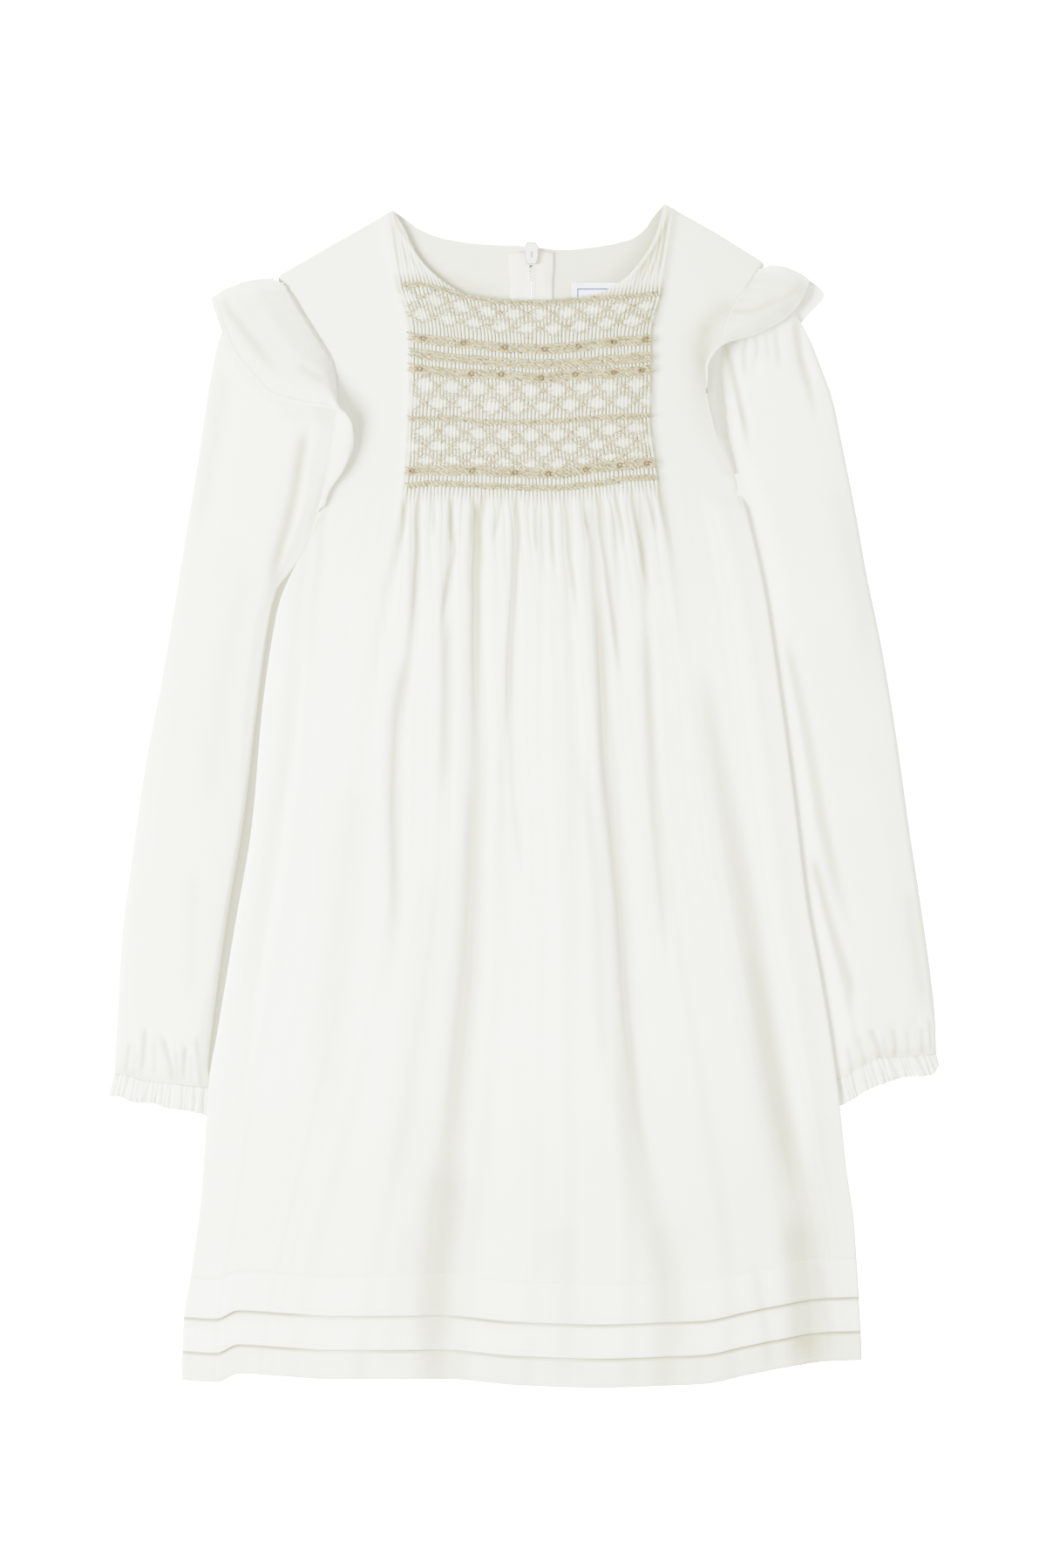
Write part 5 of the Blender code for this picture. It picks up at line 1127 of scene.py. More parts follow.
# Finer folds of the sleeves, in photo pixels: points, depth in millimetres (below 0 a ridge), half width
SLEEVE_LINES = {
    "left": (
        (((351, 495), (345, 530), (340, 560), (334, 590), (325, 620), (317, 650), (312, 690), (304, 745)),
         1.2, 3.2),
        (((372, 545), (362, 585), (350, 625)), 0.5, 2.2),
        (((320, 474), (345, 478), (368, 482), (388, 490)), 0.5, 2.3),
        (((300, 470), (285, 560), (262, 660), (240, 760)), -0.5, 7.0),
        (((262, 430), (245, 520), (225, 640)), 0.5, 5.0),
        (((280, 640), (262, 760), (250, 860), (238, 980)), 0.4, 7.0),
        (((205, 760), (192, 900), (180, 1040)), -0.35, 7.0),
        (((225, 1000), (222, 1090), (220, 1160)), 0.4, 4.5),
        (((168, 1180), (166, 1210), (160, 1238)), 1.0, 1.6),
        (((189, 1190), (197, 1225), (197, 1243)), 1.1, 1.5),
        (((214, 1200), (212, 1222), (209, 1244)), 1.0, 1.6),
        (((228, 1190), (229, 1225), (231, 1250)), 0.8, 1.5),
        (((150, 1195), (147, 1215), (143, 1234)), 0.8, 1.4),
        (((179, 1195), (178, 1220), (177, 1240)), 0.7, 1.3),
        (((203, 1205), (204, 1225), (203, 1243)), 0.7, 1.3),
        (((159, 1205), (155, 1222), (152, 1236)), 0.5, 1.2),
        (((221, 1210), (220, 1228), (220, 1246)), 0.6, 1.2),
    ),
    "right": (
        (((902, 733), (923, 824), (944, 940), (960, 1015), (983, 1085)), 0.9, 3.5),
        (((931, 982), (952, 1056), (975, 1127), (979, 1172)), 1.0, 3.0),
        (((866, 386), (868, 400), (866, 425)), 0.9, 1.4), (((855, 388), (852, 410), (856, 440)), 0.8, 1.4),
        (((889, 379), (891, 400), (896, 430)), 0.8, 1.6), (((878, 383), (880, 402), (882, 420)), 0.6, 1.2),
        (((832, 400), (839, 423), (853, 482), (860, 540)), 1.1, 2.2),
        (((912, 365), (919, 412), (927, 440), (940, 500)), 1.0, 2.2),
        (((960, 560), (985, 680), (1005, 800)), 0.4, 7.0),
        (((985, 860), (1010, 980), (1032, 1090)), -0.4, 7.0),
        (((1040, 1020), (1052, 1100), (1063, 1180)), 0.5, 4.0),
        (((998, 1180), (1006, 1200), (1011, 1232)), 1.0, 1.5),
        (((1024, 1180), (1026, 1200), (1024, 1222)), 1.0, 1.5),
        (((985, 1190), (990, 1215), (994, 1240)), 0.8, 1.4),
        (((1056, 1178), (1057, 1200), (1056, 1214)), 0.9, 1.4),
        (((1040, 1182), (1041, 1200), (1041, 1216)), 0.7, 1.3),
        (((971, 1200), (976, 1225), (979, 1248)), 0.8, 1.3),
        (((1066, 1170), (1067, 1190), (1068, 1212)), 0.7, 1.3),
        (((1012, 1190), (1016, 1208), (1018, 1228)), 0.6, 1.2),
    ),
}


def sleeve_top(side, x, y, across, down):
    """Height of a sleeve's upper surface: low along the body, and thin where the body lies on it."""
    outward = (x - EDGES[side](y)) * TURNS[side]
    round_off = np.sqrt(np.maximum(1.0 - np.abs(2.0 * across - 1.0) ** 3.0, 0.0))
    floor = sleeve_floor(y, down)
    height = floor + 2.6 + (SLEEVE_TOP - floor - 2.6) * round_off
    for ax, ay, bx, by, depth, wide in SLEEVE_FOLDS[side]:
        away, _ = segment_distance(x, y, ax, ay, bx, by)
        height = height - 0.7 * depth * np.exp(-((away / wide) ** 2))
    height = height - grooves(x, y, SLEEVE_LINES[side])
    height = height + 0.14 * ripple(x * 0.13 + y * 0.02, y * 0.045 + x * 0.06, x * 0.2 - y * 0.03 + 1.0)
    gather = ease((down - 0.93) / 0.06)
    height = height + gather * 0.35 * ripple(across * 113.0, across * 71.0 + 1.0)
    low = seam_top(y)
    height = np.minimum(height, low + (SLEEVE_TOP - low) * ease((outward - 1.0) / 12.0))
    height = height + (np.minimum(CUFF_TOP - 0.1, height) - height) * ease((down - 0.93) / 0.07)
    return np.maximum(height, floor + 1.6)


def ring_steps(count):
    """Places around a pressed tube: over the top from 0 to 1, then back underneath; closer at its edges."""
    turn = np.linspace(0.0, math.pi, count)
    top = 0.5 - 0.5 * np.cos(turn) * (1.0 + 0.12 * np.sin(turn) ** 2)
    return np.concatenate((top, top[::-1][1:])), np.concatenate((np.ones(count), np.zeros(count - 1)))


def make_sleeve(side):
    """A long sleeve, pressed flat, with folds, puckers at its head and gathers above the cuff."""
    across, upper = ring_steps(SLEEVE_STEPS)
    head, length, wrist = np.linspace(0.0, 0.2, 40), np.linspace(0.2, 0.9, 90), np.linspace(0.9, 1.0, 26)
    down = np.concatenate((head[:-1], length[:-1], wrist))
    a = np.broadcast_to(across[None, :], (len(down), len(across)))
    d = np.broadcast_to(down[:, None], a.shape)
    x, y = sleeve_plan(side, a, d)
    floor = sleeve_floor(y, d) + 0.12
    top = sleeve_top(side, x, y, a, d)
    far = SLEEVE_STEPS - 1
    wide = np.hypot(x[:, 0] - x[:, far], y[:, 0] - y[:, far])[:, None]
    edge = np.minimum(a, 1.0 - a) * wide
    rounding = np.sqrt(np.clip(1.0 - (1.0 - np.clip(edge / 3.2, 0.0, 1.0)) ** 2, 0.0, 1.0))
    middle = floor + 1.15
    upper_side = middle + (top - middle) * rounding
    z = np.where(upper[None, :] > 0.5, upper_side, middle - (middle - floor) * rounding)
    points = np.stack([x, y, z], axis=2)
    rim = points[:1].copy()
    rim[:, :, 2] = middle[:1] + (rim[:, :, 2] - middle[:1]) * 0.3
    points = np.concatenate((rim, points))
    # Painted shade of the sleeve: in its folds, beside the body, a little all over, at the wrist, and more on
    # the rim at its head
    shade = np.maximum(grooves(x, y, SLEEVE_LINES[side]), 0.0)
    outward = (x - EDGES[side](y)) * TURNS[side]
    reach, dark = BESIDE_BODY_SHADE[side]
    painted_shade = 0.55 * shade ** 1.2 + dark * np.exp(-((outward / reach) ** 2)) + 0.17
    painted_shade = painted_shade + 0.28 * np.exp(-(((1.0 - d) / 0.012) ** 2))
    mesh = grid_mesh(points, np.concatenate((painted_shade[:1] + 0.5, painted_shade)), around=True)
    return finish("sleeve_%s_cloth" % side, mesh, IVORY, ["sleeve_" + side])


def make_cuff(side):
    """An elastic cuff: a casing drawn into tight uneven gathers, with a small frilled lower edge."""
    shape = SLEEVES[side]
    across, upper = ring_steps(CUFF_STEPS)
    down = np.concatenate(([0.2, 0.02, 0.0], np.linspace(0.01, 1.0, 20), [1.02, 1.0, 0.75]))
    inset = np.concatenate(([1.1, 0.9, 0.4], np.zeros(20), [0.35, 0.8, 1.1]))
    inset = np.clip(inset, 0.0, 1.0)[:, None]
    a = np.broadcast_to(across[None, :], (len(down), len(across)))
    d = np.broadcast_to(down[:, None], a.shape)
    top, low = point_along(shape["wrist"], a), point_along(shape["hem"], a)
    x, y = top + (low - top) * d
    edge = EDGES[side](y)
    if side == "left":
        apart = (edge - x)[:, CUFF_STEPS - 1:CUFF_STEPS]
        x = x + (np.maximum(apart, -0.4) + 0.4) * ease((a - 0.6) / 0.4)
    limit = SLEEVE_SEAM_TOP + 3.0 * ease(((x - edge) * TURNS[side] - 1.0) / 7.0)
    rounding = np.sqrt(np.maximum(1.0 - np.abs(2.0 * a - 1.0) ** 6.0, 0.0))
    phase = a * CUFF_GATHERS + 0.62 * ripple(a * 23.0, a * 37.0 + 2.0) + 0.10 * np.sin(d * 4.0 + a * 60.0)
    crest = np.abs(np.sin(math.pi * phase)) ** 0.8
    wave = CUFF_WAVE * (2.0 * crest - 1.0) * rounding
    wave = wave * (0.75 + 0.4 * ease((d - 0.75) / 0.2))
    stitch = -0.3 * (np.exp(-(((d - 0.12) / 0.05) ** 2)) + np.exp(-(((d - 0.7) / 0.05) ** 2)))
    height = np.minimum(CUFF_EDGE + (CUFF_TOP - CUFF_EDGE) * rounding + wave + stitch, limit)
    upper_side = CUFF_MIDDLE + (height - CUFF_MIDDLE) * rounding ** 0.5
    z = np.where(upper[None, :] > 0.5, upper_side, CUFF_MIDDLE - 1.3 * rounding)
    z = z + (CUFF_MIDDLE - z) * inset * 0.55
    y = y - 0.25 * np.sin(2.0 * math.pi * phase) * ease((d - 0.8) / 0.2) * rounding
    # Painted shade of the cuff: between its gathers, where it meets the sleeve, on its tucked-in ends, and a
    # little all over
    painted_shade = 0.8 * (1.0 - crest) ** 1.5 * (0.7 + 0.5 * ripple(a * 41.0 + 1.0, a * 67.0))
    painted_shade = painted_shade + 0.3 * np.exp(-((d / 0.05) ** 2)) + 0.5 * inset + 0.1
    mesh = grid_mesh(np.stack([x, y, z], axis=2), painted_shade, around=True)
    return finish("cuff_%s_cloth" % side, mesh, IVORY, ["cuff_" + side])


# Frills

def frill_sections(side):
    """Sections of a frill from its front end, over the shoulder, to its back end."""
    turn, edge = TURNS[side], EDGES[side]
    front = []
    for row in FRILLS[side]:
        sewn = (edge(row[0]) - turn * 0.3, row[0], seam_top(row[0]) + 0.45)
        front.append([sewn, row[1:4], row[4:7], row[7:10]])
    turned = []
    for z in FRILL_TURN_HEIGHTS:
        row = [(point[0] + turn * 0.8, point[1] + FRILL_TURN_OUT, z) for point in front[-1]]
        row[0] = (*FRILL_TURN[side], z)
        turned.append(row)
    back = []
    for section in range(FRILL_BACK_SECTIONS):
        share = section / (FRILL_BACK_SECTIONS - 1)
        y = SLEEVES[side]["shoulder"] + 2.5 - share * FRILL_BACK_LENGTH
        wide = column(FRILL_BACK, 0, 1, share)
        seam = edge(y) + turn * FRILL_BACK_OFFSET
        back.append([
            (seam + turn * FRILL_LEAN[0] * wide * out, y + FRILL_LEAN[1] * wide * out, WALL * 0.5)
            for out in FRILL_SPREAD
        ])
    return np.array(front + turned + back, float)


# Creases of the frills, in photo pixels: points, depth in millimetres (below 0 a ridge), half width
FRILL_LINES = {
    "left": (
        (((258, 332), (260, 349), (265, 360), (276, 372), (295, 397), (313, 419), (328, 431)), 0.9, 2.6),
        (((290, 325), (310, 360), (335, 400), (352, 430)), -0.5, 4.0),
        (((345, 420), (362, 432), (380, 440)), 0.7, 2.6),
        (((375, 445), (390, 458), (399, 472), (398, 492)), -0.6, 2.4),
    ),
    "right": (
        (((921, 319), (912, 335), (896, 348), (880, 357)), 0.7, 2.0),
        (((839, 359), (862, 358), (880, 351), (900, 335)), 0.7, 2.0),
        (((831, 381), (850, 374), (869, 367), (894, 353), (919, 326)), -0.6, 2.2),
    ),
}


def make_frill(side):
    """The frill of one armhole, with small waves along its free edge and a narrow double hem."""
    sections = frill_sections(side)
    last = sections.shape[0] - 1.0
    row_at = np.linspace(0.0, last, 210)
    column_at = np.concatenate((np.linspace(0.0, 2.72, 30), np.linspace(2.76, 3.0, 10)))
    keys = np.arange(sections.shape[0], dtype=float)
    across = np.empty((sections.shape[0], len(column_at), 3))
    for row in range(sections.shape[0]):
        for axis in range(3):
            across[row, :, axis] = line(np.arange(4.0), sections[row, :, axis], column_at)
    points = np.empty((len(row_at), len(column_at), 3))
    for place in range(len(column_at)):
        for axis in range(3):
            points[:, place, axis] = line(keys, across[:, place, axis], row_at)
    down, over = np.gradient(points, axis=0), np.gradient(points, axis=1)
    normals = np.cross(down, over)
    normals /= np.maximum(np.linalg.norm(normals, axis=2, keepdims=True), 1e-9)
    if side == "right":
        normals = -normals
    out = column_at[None, :] / 3.0
    front = 1.0 - ease((row_at[:, None] - len(FRILLS[side]) + 2.0) / 2.0)
    wave = 0.45 * out ** 2 * ripple(row_at[:, None] * 2.6, row_at[:, None] * 4.3 + out * 2.0)
    creases = grooves(points[:, :, 0], points[:, :, 1], FRILL_LINES[side])
    hem = 0.22 * ease((out - 0.905) / 0.02)
    seam = -0.25 * np.exp(-((out / 0.06) ** 2))
    seam = seam + 0.3 * ripple(row_at[:, None] * 9.0) * np.exp(-((out / 0.2) ** 2))
    offset = (wave - creases * np.sin(math.pi * np.clip(out * 1.05, 0.0, 1.0)) + hem + seam) * front
    points = points + normals * offset[:, :, None]
    points[:, :, 2] = np.maximum(points[:, :, 2], 0.5)
    # Painted shade of the frill: all over, in its creases, along its sewn edge, and as a darker line along
    # its hem
    painted_shade = FRILL_SHADE[side] + 0.34 * np.maximum(creases, 0.0) + 0.1 * np.exp(-((out / 0.1) ** 2))
    painted_shade = painted_shade + 0.3 * np.exp(-(((out - 0.9) / 0.012) ** 2))
    mesh = grid_mesh(points, painted_shade * front)
    thicken(mesh, FRILL_CLOTH)
    return finish("frill_%s_cloth" % side, mesh, IVORY, ["frill_" + side])


# Zip and label

def make_zip_half(side):
    """One woven zip tape, with the edge by the coil a little raised."""
    turn = TURNS[side]
    outs = np.array([0.2, 0.6, 1.2, 2.0, 2.6, 3.4, 5.0, 7.0, 9.0, 10.0, ZIP_TAPE])
    rises = np.array([0.55, 0.6, 0.6, 0.55, 0.5, 0.5, 0.5, 0.5, 0.45, 0.3, 0.2])
    points = []
    for y in np.linspace(ZIP_HIGH, ZIP_LOW, 120):
        x = ZIP_X + turn * (zip_half_gap(y) + 0.05 + outs)
        z = BACK_TOP + 0.3 + rises + back_under(x, y)
        points.append(np.stack([x, np.full(x.shape, y), z], axis=1))
    mesh = grid_mesh(np.array(points), 0.0)
    thicken(mesh, TAPE_CLOTH)
    return finish("zip_tape_%s_weave" % side, mesh, TAPE, ["zip_tape_" + side])


def nylon_material():
    made, tree, shader = new_material("zip_nylon", {"Base Color": (0.86, 0.85, 0.80, 1.0)})
    uneven_roughness(tree, shader, 800.0, 2.0, 0.25, 0.45)
    return made


def make_coil():
    """The two interlocked coils of the zip, one small loop for each tooth."""
    heights = np.arange(ZIP_LOW + 1.0, SLIDER_LOW, 0.75)
    count = len(heights)
    turn = np.where(np.arange(count) % 2 == 0, 1.0, -1.0)
    x = ZIP_X + turn * 0.75
    z = BACK_TOP + 0.3 + WALL + 0.32 + back_under(x, heights)
    centres = np.stack([x, heights, z], axis=1)
    along = np.tile([1.25, 0.0, 0.0], (count, 1)) * turn[:, None]
    across = np.tile([0.0, 0.36, 0.0], (count, 1))
    up = np.tile([0.0, 0.0, 0.30], (count, 1))
    return scatter("zip_coil", spindle(6, 6), centres, along, across, up, nylon_material(), "zip_tape_left")


def label_material():
    """Blank woven label: satin bands with a plain navy frame line inside a white edge, its pale tones
    darkened with painted shade.
    """
    made, tree, shader = new_material("label_satin", {"Roughness": 0.45, "Sheen Weight": 0.2})
    place = node(tree, "ShaderNodeTexCoord").outputs["Object"]
    parts = node(tree, "ShaderNodeSeparateXYZ", {0: place})
    left, right, low, high = (value * MM for value in LABEL)

    def inside(axis, start, end):
        """Distance from the nearer of two edges."""
        off_middle = math_node(tree, "SUBTRACT", parts.outputs[axis], (start + end) / 2.0)
        return math_node(tree, "SUBTRACT", (end - start) / 2.0, math_node(tree, "ABSOLUTE", off_middle))

    inset = math_node(tree, "MINIMUM", inside(0, left, right), inside(1, low, high))
    off_line = math_node(tree, "ABSOLUTE", math_node(tree, "SUBTRACT", inset, LABEL_LINE_INSET))
    frame_line = node(tree, "ShaderNodeMapRange", {
        "Value": off_line, "From Min": 0.0003, "From Max": 0.0006, "To Min": 1.0, "To Max": 0.0,
    }).outputs[0]
    # The label's ground: its white and pale blue darkened with painted shade, as it lies in the shade inside
    # the neck
    tone = mix_colours(tree, frame_line, (0.66, 0.70, 0.80, 1.0), (0.01, 0.02, 0.13, 1.0))
    tree.links.new(tone, shader.inputs["Base Color"])
    add_bump(tree, shader, thread_waves(tree, place, 1, 0.0004), 0.4, 0.00008)
    return made


def make_label():
    left, right, low, high = LABEL
    xs, ys = np.linspace(left, right, 26), np.linspace(high, low, 24)
    x, y = np.meshgrid(xs, ys)
    z = BACK_TOP + 0.75 + 0.1 * ripple(x * 0.3, y * 0.25)
    mesh = grid_mesh(np.stack([x, y, z], axis=2), 0.0)
    thicken(mesh, LABEL_CLOTH)
    return finish("neck_label_satin", mesh, label_material(), ["neck_label"], sharp=60)


def enamel_material(name, colour):
    made, tree, shader = new_material(name, {"Base Color": colour, "Coat Weight": 0.4})
    noise = uneven_roughness(tree, shader, 350.0, 3.0, 0.22, 0.4)
    add_bump(tree, shader, noise, 0.15, 0.0001)
    return made


def make_slider_rim():
    """The raised rim round the slider's shield, and the rivet of its pull."""
    rim = [(ZIP_X + x, y) for x, y in SHIELD]
    rivet = [(ZIP_X, y) for y in PULL_RIVET]
    parts = [
        running_stitches(rim, lambda x, up: np.full(x.shape, SHIELD_TOP - 0.05), 1.0, -0.4, 0.55),
        running_stitches(rivet, lambda x, up: np.full(x.shape, SHIELD_TOP), 1.0, -0.4, 1.1),
    ]
    surface = enamel_material("slider_rim_enamel", (0.20, 0.20, 0.16, 1.0))
    return scatter("slider_rim", spindle(8, 5), *gather_strands(parts), surface, "zip_slider")


# Embroidery and sewing

# Each row: name, offsets of its strands across the row, length and thickness of a strand
ROPES = (
    ("A", (0.75, -0.65), 3.5, 1.15), ("B", (1.8, 0.1, -1.6), 4.2, 1.25), ("C", (1.7, 0.0, -1.7), 4.4, 1.25),
    ("D", (1.8, 0.1, -1.6), 4.2, 1.3), ("E", (0.65, -0.65), 3.6, 1.15), ("F", (1.9, 0.2, -1.5), 4.2, 1.3),
    ("G", (0.95, -0.6), 4.0, 1.15),
)
# Pixels across the photo where the knots of a row lie
KNOTS = {
    "B": (485, 531, 578, 624, 663, 703, 739),
    "D": (481, 540, 574, 620, 659, 703, 735),
    "F": (472, 541, 590, 628, 671, 710, 741),
}


def pleat_x(name):
    """Middles of the pleats along one embroidered row."""
    keys = [point[0] for point in SMOCK_ROWS[name]]
    return np.linspace(keys[0] + 2.0, keys[-1] - 2.6, PLEATS)


def strands(centres_x, centres_up, long, wide, tall, slant, lift):
    """Half axes of strands of thread that lie on the front, slanted by an angle in degrees."""
    count = len(centres_x)
    angle = np.radians(slant) * np.ones(count)
    z = on_front(centres_x, centres_up)
    for aside in (-0.45, 0.45):
        z = np.maximum(z, on_front(centres_x + aside, centres_up))
    centres = np.stack([centres_x, centres_up, z + lift], axis=1)
    direction = np.stack([np.cos(angle), np.sin(angle), np.zeros(count)], axis=1)
    side = np.stack([-np.sin(angle), np.cos(angle), np.zeros(count)], axis=1)
    long = np.ones(count) * long
    up = np.tile([0.0, 0.0, tall / 2.0], (count, 1))
    return centres, direction * long[:, None] / 2.0, side * wide / 2.0, up


def wobble(count, seed, amount):
    return np.random.default_rng(seed).normal(0.0, amount, count)


def gather_strands(parts):
    return [np.concatenate([part[index] for part in parts]) for index in range(4)]


def make_ropes():
    """The embroidered rows of slanted stitches."""
    parts = []
    for index, (name, offsets, long, wide) in enumerate(ROPES):
        for step, offset in enumerate(offsets):
            seed = 10 * index + step
            x = pleat_x(name) + wobble(PLEATS, seed, 0.2) + 0.9 * (step % 2)
            up = row_up(name, x) + offset + wobble(PLEATS, seed + 500, 0.22)
            slant = -23.0 + wobble(PLEATS, seed + 900, 4.0)
            length = long * (1.0 + wobble(PLEATS, seed + 700, 0.07))
            parts.append(strands(x, up, length, wide, 1.0, slant, 0.32))
    centres, along, across, up = gather_strands(parts)
    along[:, 2] = 0.28
    return scatter("smocking_ropes", spindle(7, 6), centres, along, across, up, GOLD, "front", 0.25)


def make_knots():
    """Knots on three of the rows: five short strands wound round each place."""
    spots = []
    for name, pixels in KNOTS.items():
        for number, pixel in enumerate(pixels):
            x = photo_x(pixel)
            up = float(row_up(name, np.array([x]))[0]) + 0.1
            for turn in range(5):
                angle = turn * 2.0 * math.pi / 5.0 + number
                spots.append((x + 1.15 * math.cos(angle), up + 1.05 * math.sin(angle),
                              math.degrees(angle) + 90.0))
    spots = np.array(spots)
    parts = strands(spots[:, 0], spots[:, 1], 2.0, 1.0, 1.1, spots[:, 2], 1.0)
    return scatter("smocking_knots", spindle(7, 6), *parts, DEEP, "front", 0.3)


def make_trellis():
    """The pale trellis, two zigzags for each line of cells, and the firmer stitches where they meet."""
    parts, ties = [], []
    lines = [(upper, lower, *cell) for upper, lower, cells in TRELLIS for cell in cells]
    for upper, lower, middle, half, centre in lines:
        seed = int(centre)
        for sense in (-1.0, 1.0):
            x = pleat_x(upper)
            x = x[1:-1] + wobble(PLEATS - 2, seed + int(10 * sense), 0.12)
            high, low = row_up(upper, x), row_up(lower, x)
            wave, after = triangle_wave(x, centre), triangle_wave(x + 0.4, centre)
            up = high - (middle + sense * half * wave) * (high - low)
            rise = -sense * half * (after - wave) * (high - low) / 0.4
            long = 2.5 * (1.0 + wobble(len(x), seed + 11, 0.18))
            slant = np.degrees(np.arctan(rise)) * 0.5 + wobble(len(x), seed, 13.0)
            parts.append(strands(x, up + wobble(len(x), seed + 3, 0.34), long, 0.7, 0.6, slant, 0.24))
            # Loose short stitches beside each zigzag
            for number in range(2):
                shift = wobble(len(x), seed + 40 + number, 1.0)
                slant = wobble(len(x), seed + 60 + number, 30.0)
                parts.append(strands(x + 0.6 + number, up + shift, 1.7, 0.55, 0.5, slant, 0.2))
        x = np.arange(-9.0, 10.0) * CELL_PITCH + photo_x(centre) + CELL_PITCH / 2.0
        x = x[(x > pleat_x(upper)[2]) & (x < pleat_x(upper)[-3])]
        up = row_up(upper, x) - middle * (row_up(upper, x) - row_up(lower, x))
        up = up + wobble(len(x), seed, 0.3)
        ties.append(strands(x, up, 3.6, 1.05, 0.8, wobble(len(x), 7, 12.0), 0.42))
    return [
        scatter("smocking_ties", spindle(6, 5), *gather_strands(ties), GOLD, "front", 0.3),
        scatter("smocking_trellis", spindle(6, 5), *gather_strands(parts), PALE, "front", 0.3),
    ]


def running_stitches(path, heights, long, gap, wide):
    """Strands along a line of (right, up) points, whose heights are given by a function."""
    path = np.asarray(path, float)
    lengths = np.concatenate(([0.0], np.cumsum(np.linalg.norm(np.diff(path, axis=0), axis=1))))
    at = np.arange(long, lengths[-1] - long, long + gap)
    x, up = np.interp(at, lengths, path[:, 0]), np.interp(at, lengths, path[:, 1])
    dx = np.interp(at + 0.5, lengths, path[:, 0]) - x
    dy = np.interp(at + 0.5, lengths, path[:, 1]) - up
    size = np.maximum(np.hypot(dx, dy), 1e-9)
    z = heights(x, up)
    count = len(at)
    direction = np.stack([dx / size, dy / size, np.zeros(count)], axis=1)
    side = np.stack([-dy / size, dx / size, np.zeros(count)], axis=1)
    tall = np.tile([0.0, 0.0, wide / 2.0], (count, 1))
    return np.stack([x, up, z], axis=1), direction * long / 2.0, side * wide / 2.0, tall


def skirt_seam(y, rise):
    """Stitches across the skirt along one level row."""
    path = [
        (x, y + float(sag(np.array([x]), y)[0])) for x in np.linspace(-174.0, 173.0, 180)
        if left_edge(y) + 2.0 < x < right_edge(y) - 2.0
    ]

    def height(x, up):
        level = np.full(x.shape, y)
        return skirt_height(front_place(x, level), x, level, up)[0] + rise

    return running_stitches(path, height, *SEAM_STITCH)


def make_sewing():
    """Machine stitches: tucks, hem, label and zip."""
    parts = [skirt_seam(y, rise) for y, rise in SKIRT_STITCHES]
    left, right, low, high = LABEL[0] + 1.2, LABEL[1] - 1.2, LABEL[2] + 1.2, LABEL[3] - 1.2
    box = [(left, high), (right, high), (right, low), (left, low), (left, high)]
    parts.append(running_stitches(box, lambda x, up: np.full(x.shape, BACK_TOP + 1.05), *LABEL_STITCH))
    for side in SIDES:
        x = ZIP_X + TURNS[side] * 7.5
        seam = [(x, ZIP_HIGH - 3.0), (x, ZIP_LOW + 2.0)]
        parts.append(running_stitches(seam, lambda x, up: BACK_TOP + 1.08 + back_under(x, up), *ZIP_STITCH))
    return scatter("machine_stitches", spindle(5, 4), *gather_strands(parts), SEWING, "front")


# Floor, light and camera

def stage(name, mesh, surface):
    """Turns a bmesh, in metres, into a surface that isn't part of the dress."""
    data = bpy.data.meshes.new(name)
    mesh.to_mesh(data)
    mesh.free()
    data.materials.append(surface)
    made = bpy.data.objects.new(name, data)
    bpy.context.scene.collection.objects.link(made)


def make_floor():
    """A white floor that the camera sees evenly lit."""
    mesh = bmesh.new()
    bmesh.ops.create_grid(mesh, x_segments=1, y_segments=1, size=FLOOR_SIZE)
    bmesh.ops.translate(mesh, vec=(0.0, 0.0, FLOOR_HEIGHT), verts=mesh.verts)
    surface, tree, shader = new_material("white_floor",
                                         {"Base Color": (0.9, 0.9, 0.9, 1.0), "Roughness": 1.0})
    glow = node(tree, "ShaderNodeEmission", {"Strength": FLOOR_GLOW})
    seen = node(tree, "ShaderNodeLightPath").outputs["Is Camera Ray"]
    mixed = node(tree, "ShaderNodeMixShader", {0: seen, 1: shader.outputs[0], 2: glow.outputs[0]})
    tree.links.new(mixed.outputs[0], tree.nodes["Material Output"].inputs["Surface"])
    stage("floor", mesh, surface)


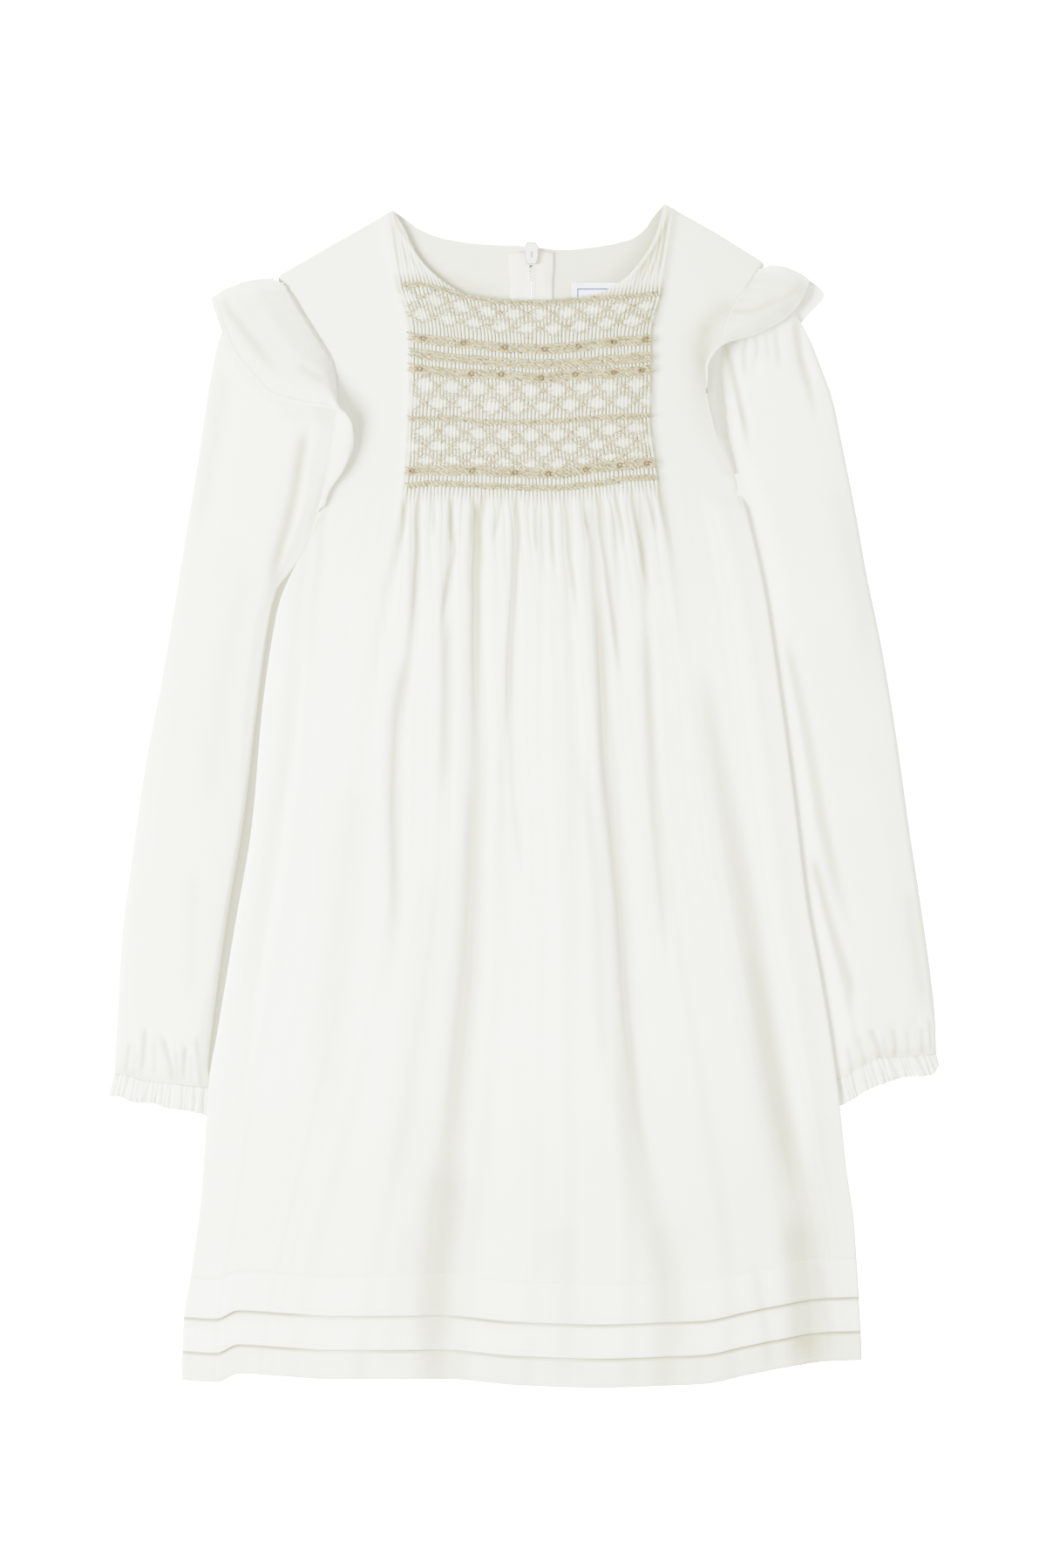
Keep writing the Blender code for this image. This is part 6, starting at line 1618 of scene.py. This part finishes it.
def make_painted_floor_shade():
    """A strip of painted shade under the gap between the left sleeve and the body: a dark floor with a fixed
    dim glow that stands in for the floor in their shade.
    """
    points = []
    for y in np.linspace(153.0, -160.0, 100):
        inner = column(SLEEVES["left"]["inner"], 1, 0, y)
        outer = left_edge(y)
        points.append([(x, y, -0.1) for x in (inner - 3.0, (inner + outer) / 2.0, outer + 3.0)])
    mesh = grid_mesh(np.array(points), 0.0)
    bmesh.ops.scale(mesh, vec=(MM, MM, MM), verts=mesh.verts)
    # Painted shade: a near-black surface with a fixed dim beige glow, in place of the shaded floor
    surface, _, _ = new_material("painted_floor_shade", {
        "Base Color": (0.05, 0.05, 0.04, 1.0), "Roughness": 1.0,
        "Emission Color": (0.96, 0.97, 0.55, 1.0), "Emission Strength": 1.45,
    })
    stage("painted_floor_shade", mesh, surface)


def make_light():
    world = bpy.data.worlds.new("studio")
    bpy.context.scene.world = world
    world.use_nodes = True
    background = world.node_tree.nodes["Background"]
    background.inputs["Color"].default_value = (1.0, 1.0, 1.0, 1.0)
    background.inputs["Strength"].default_value = WORLD_LIGHT
    for name, place, size, power, colour in LIGHTS:
        lamp = bpy.data.lights.new(name, "AREA")
        lamp.shape = "DISK"
        lamp.size = size
        lamp.energy = power
        lamp.color = colour
        holder = bpy.data.objects.new(name, lamp)
        holder.location = place
        holder.rotation_euler = (-Vector(place)).to_track_quat("-Z", "Y").to_euler()
        bpy.context.scene.collection.objects.link(holder)


def make_camera():
    data = bpy.data.cameras.new("camera")
    data.sensor_width = 36.0
    data.lens = CAMERA_LENS
    data.clip_end = 20.0
    camera = bpy.data.objects.new("camera", data)
    camera.location = CAMERA_PLACE
    bpy.context.scene.collection.objects.link(camera)
    bpy.context.scene.camera = camera


# All of it

make_camera()
make_light()
make_floor()
make_painted_floor_shade()
front = make_front()
backs, sleeves, cuffs, frills, tapes = (
    {side: make(side) for side in SIDES}
    for make in (make_back, make_sleeve, make_cuff, make_frill, make_zip_half)
)
make_coil()
label = make_label()
embroidery = [make_ropes(), make_knots(), *make_trellis()]
make_sewing()
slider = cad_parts["zip_slider"]
slider.data.materials.clear()
slider.data.materials.append(enamel_material("slider_enamel", (0.62, 0.625, 0.53, 1.0)))
make_slider_rim()
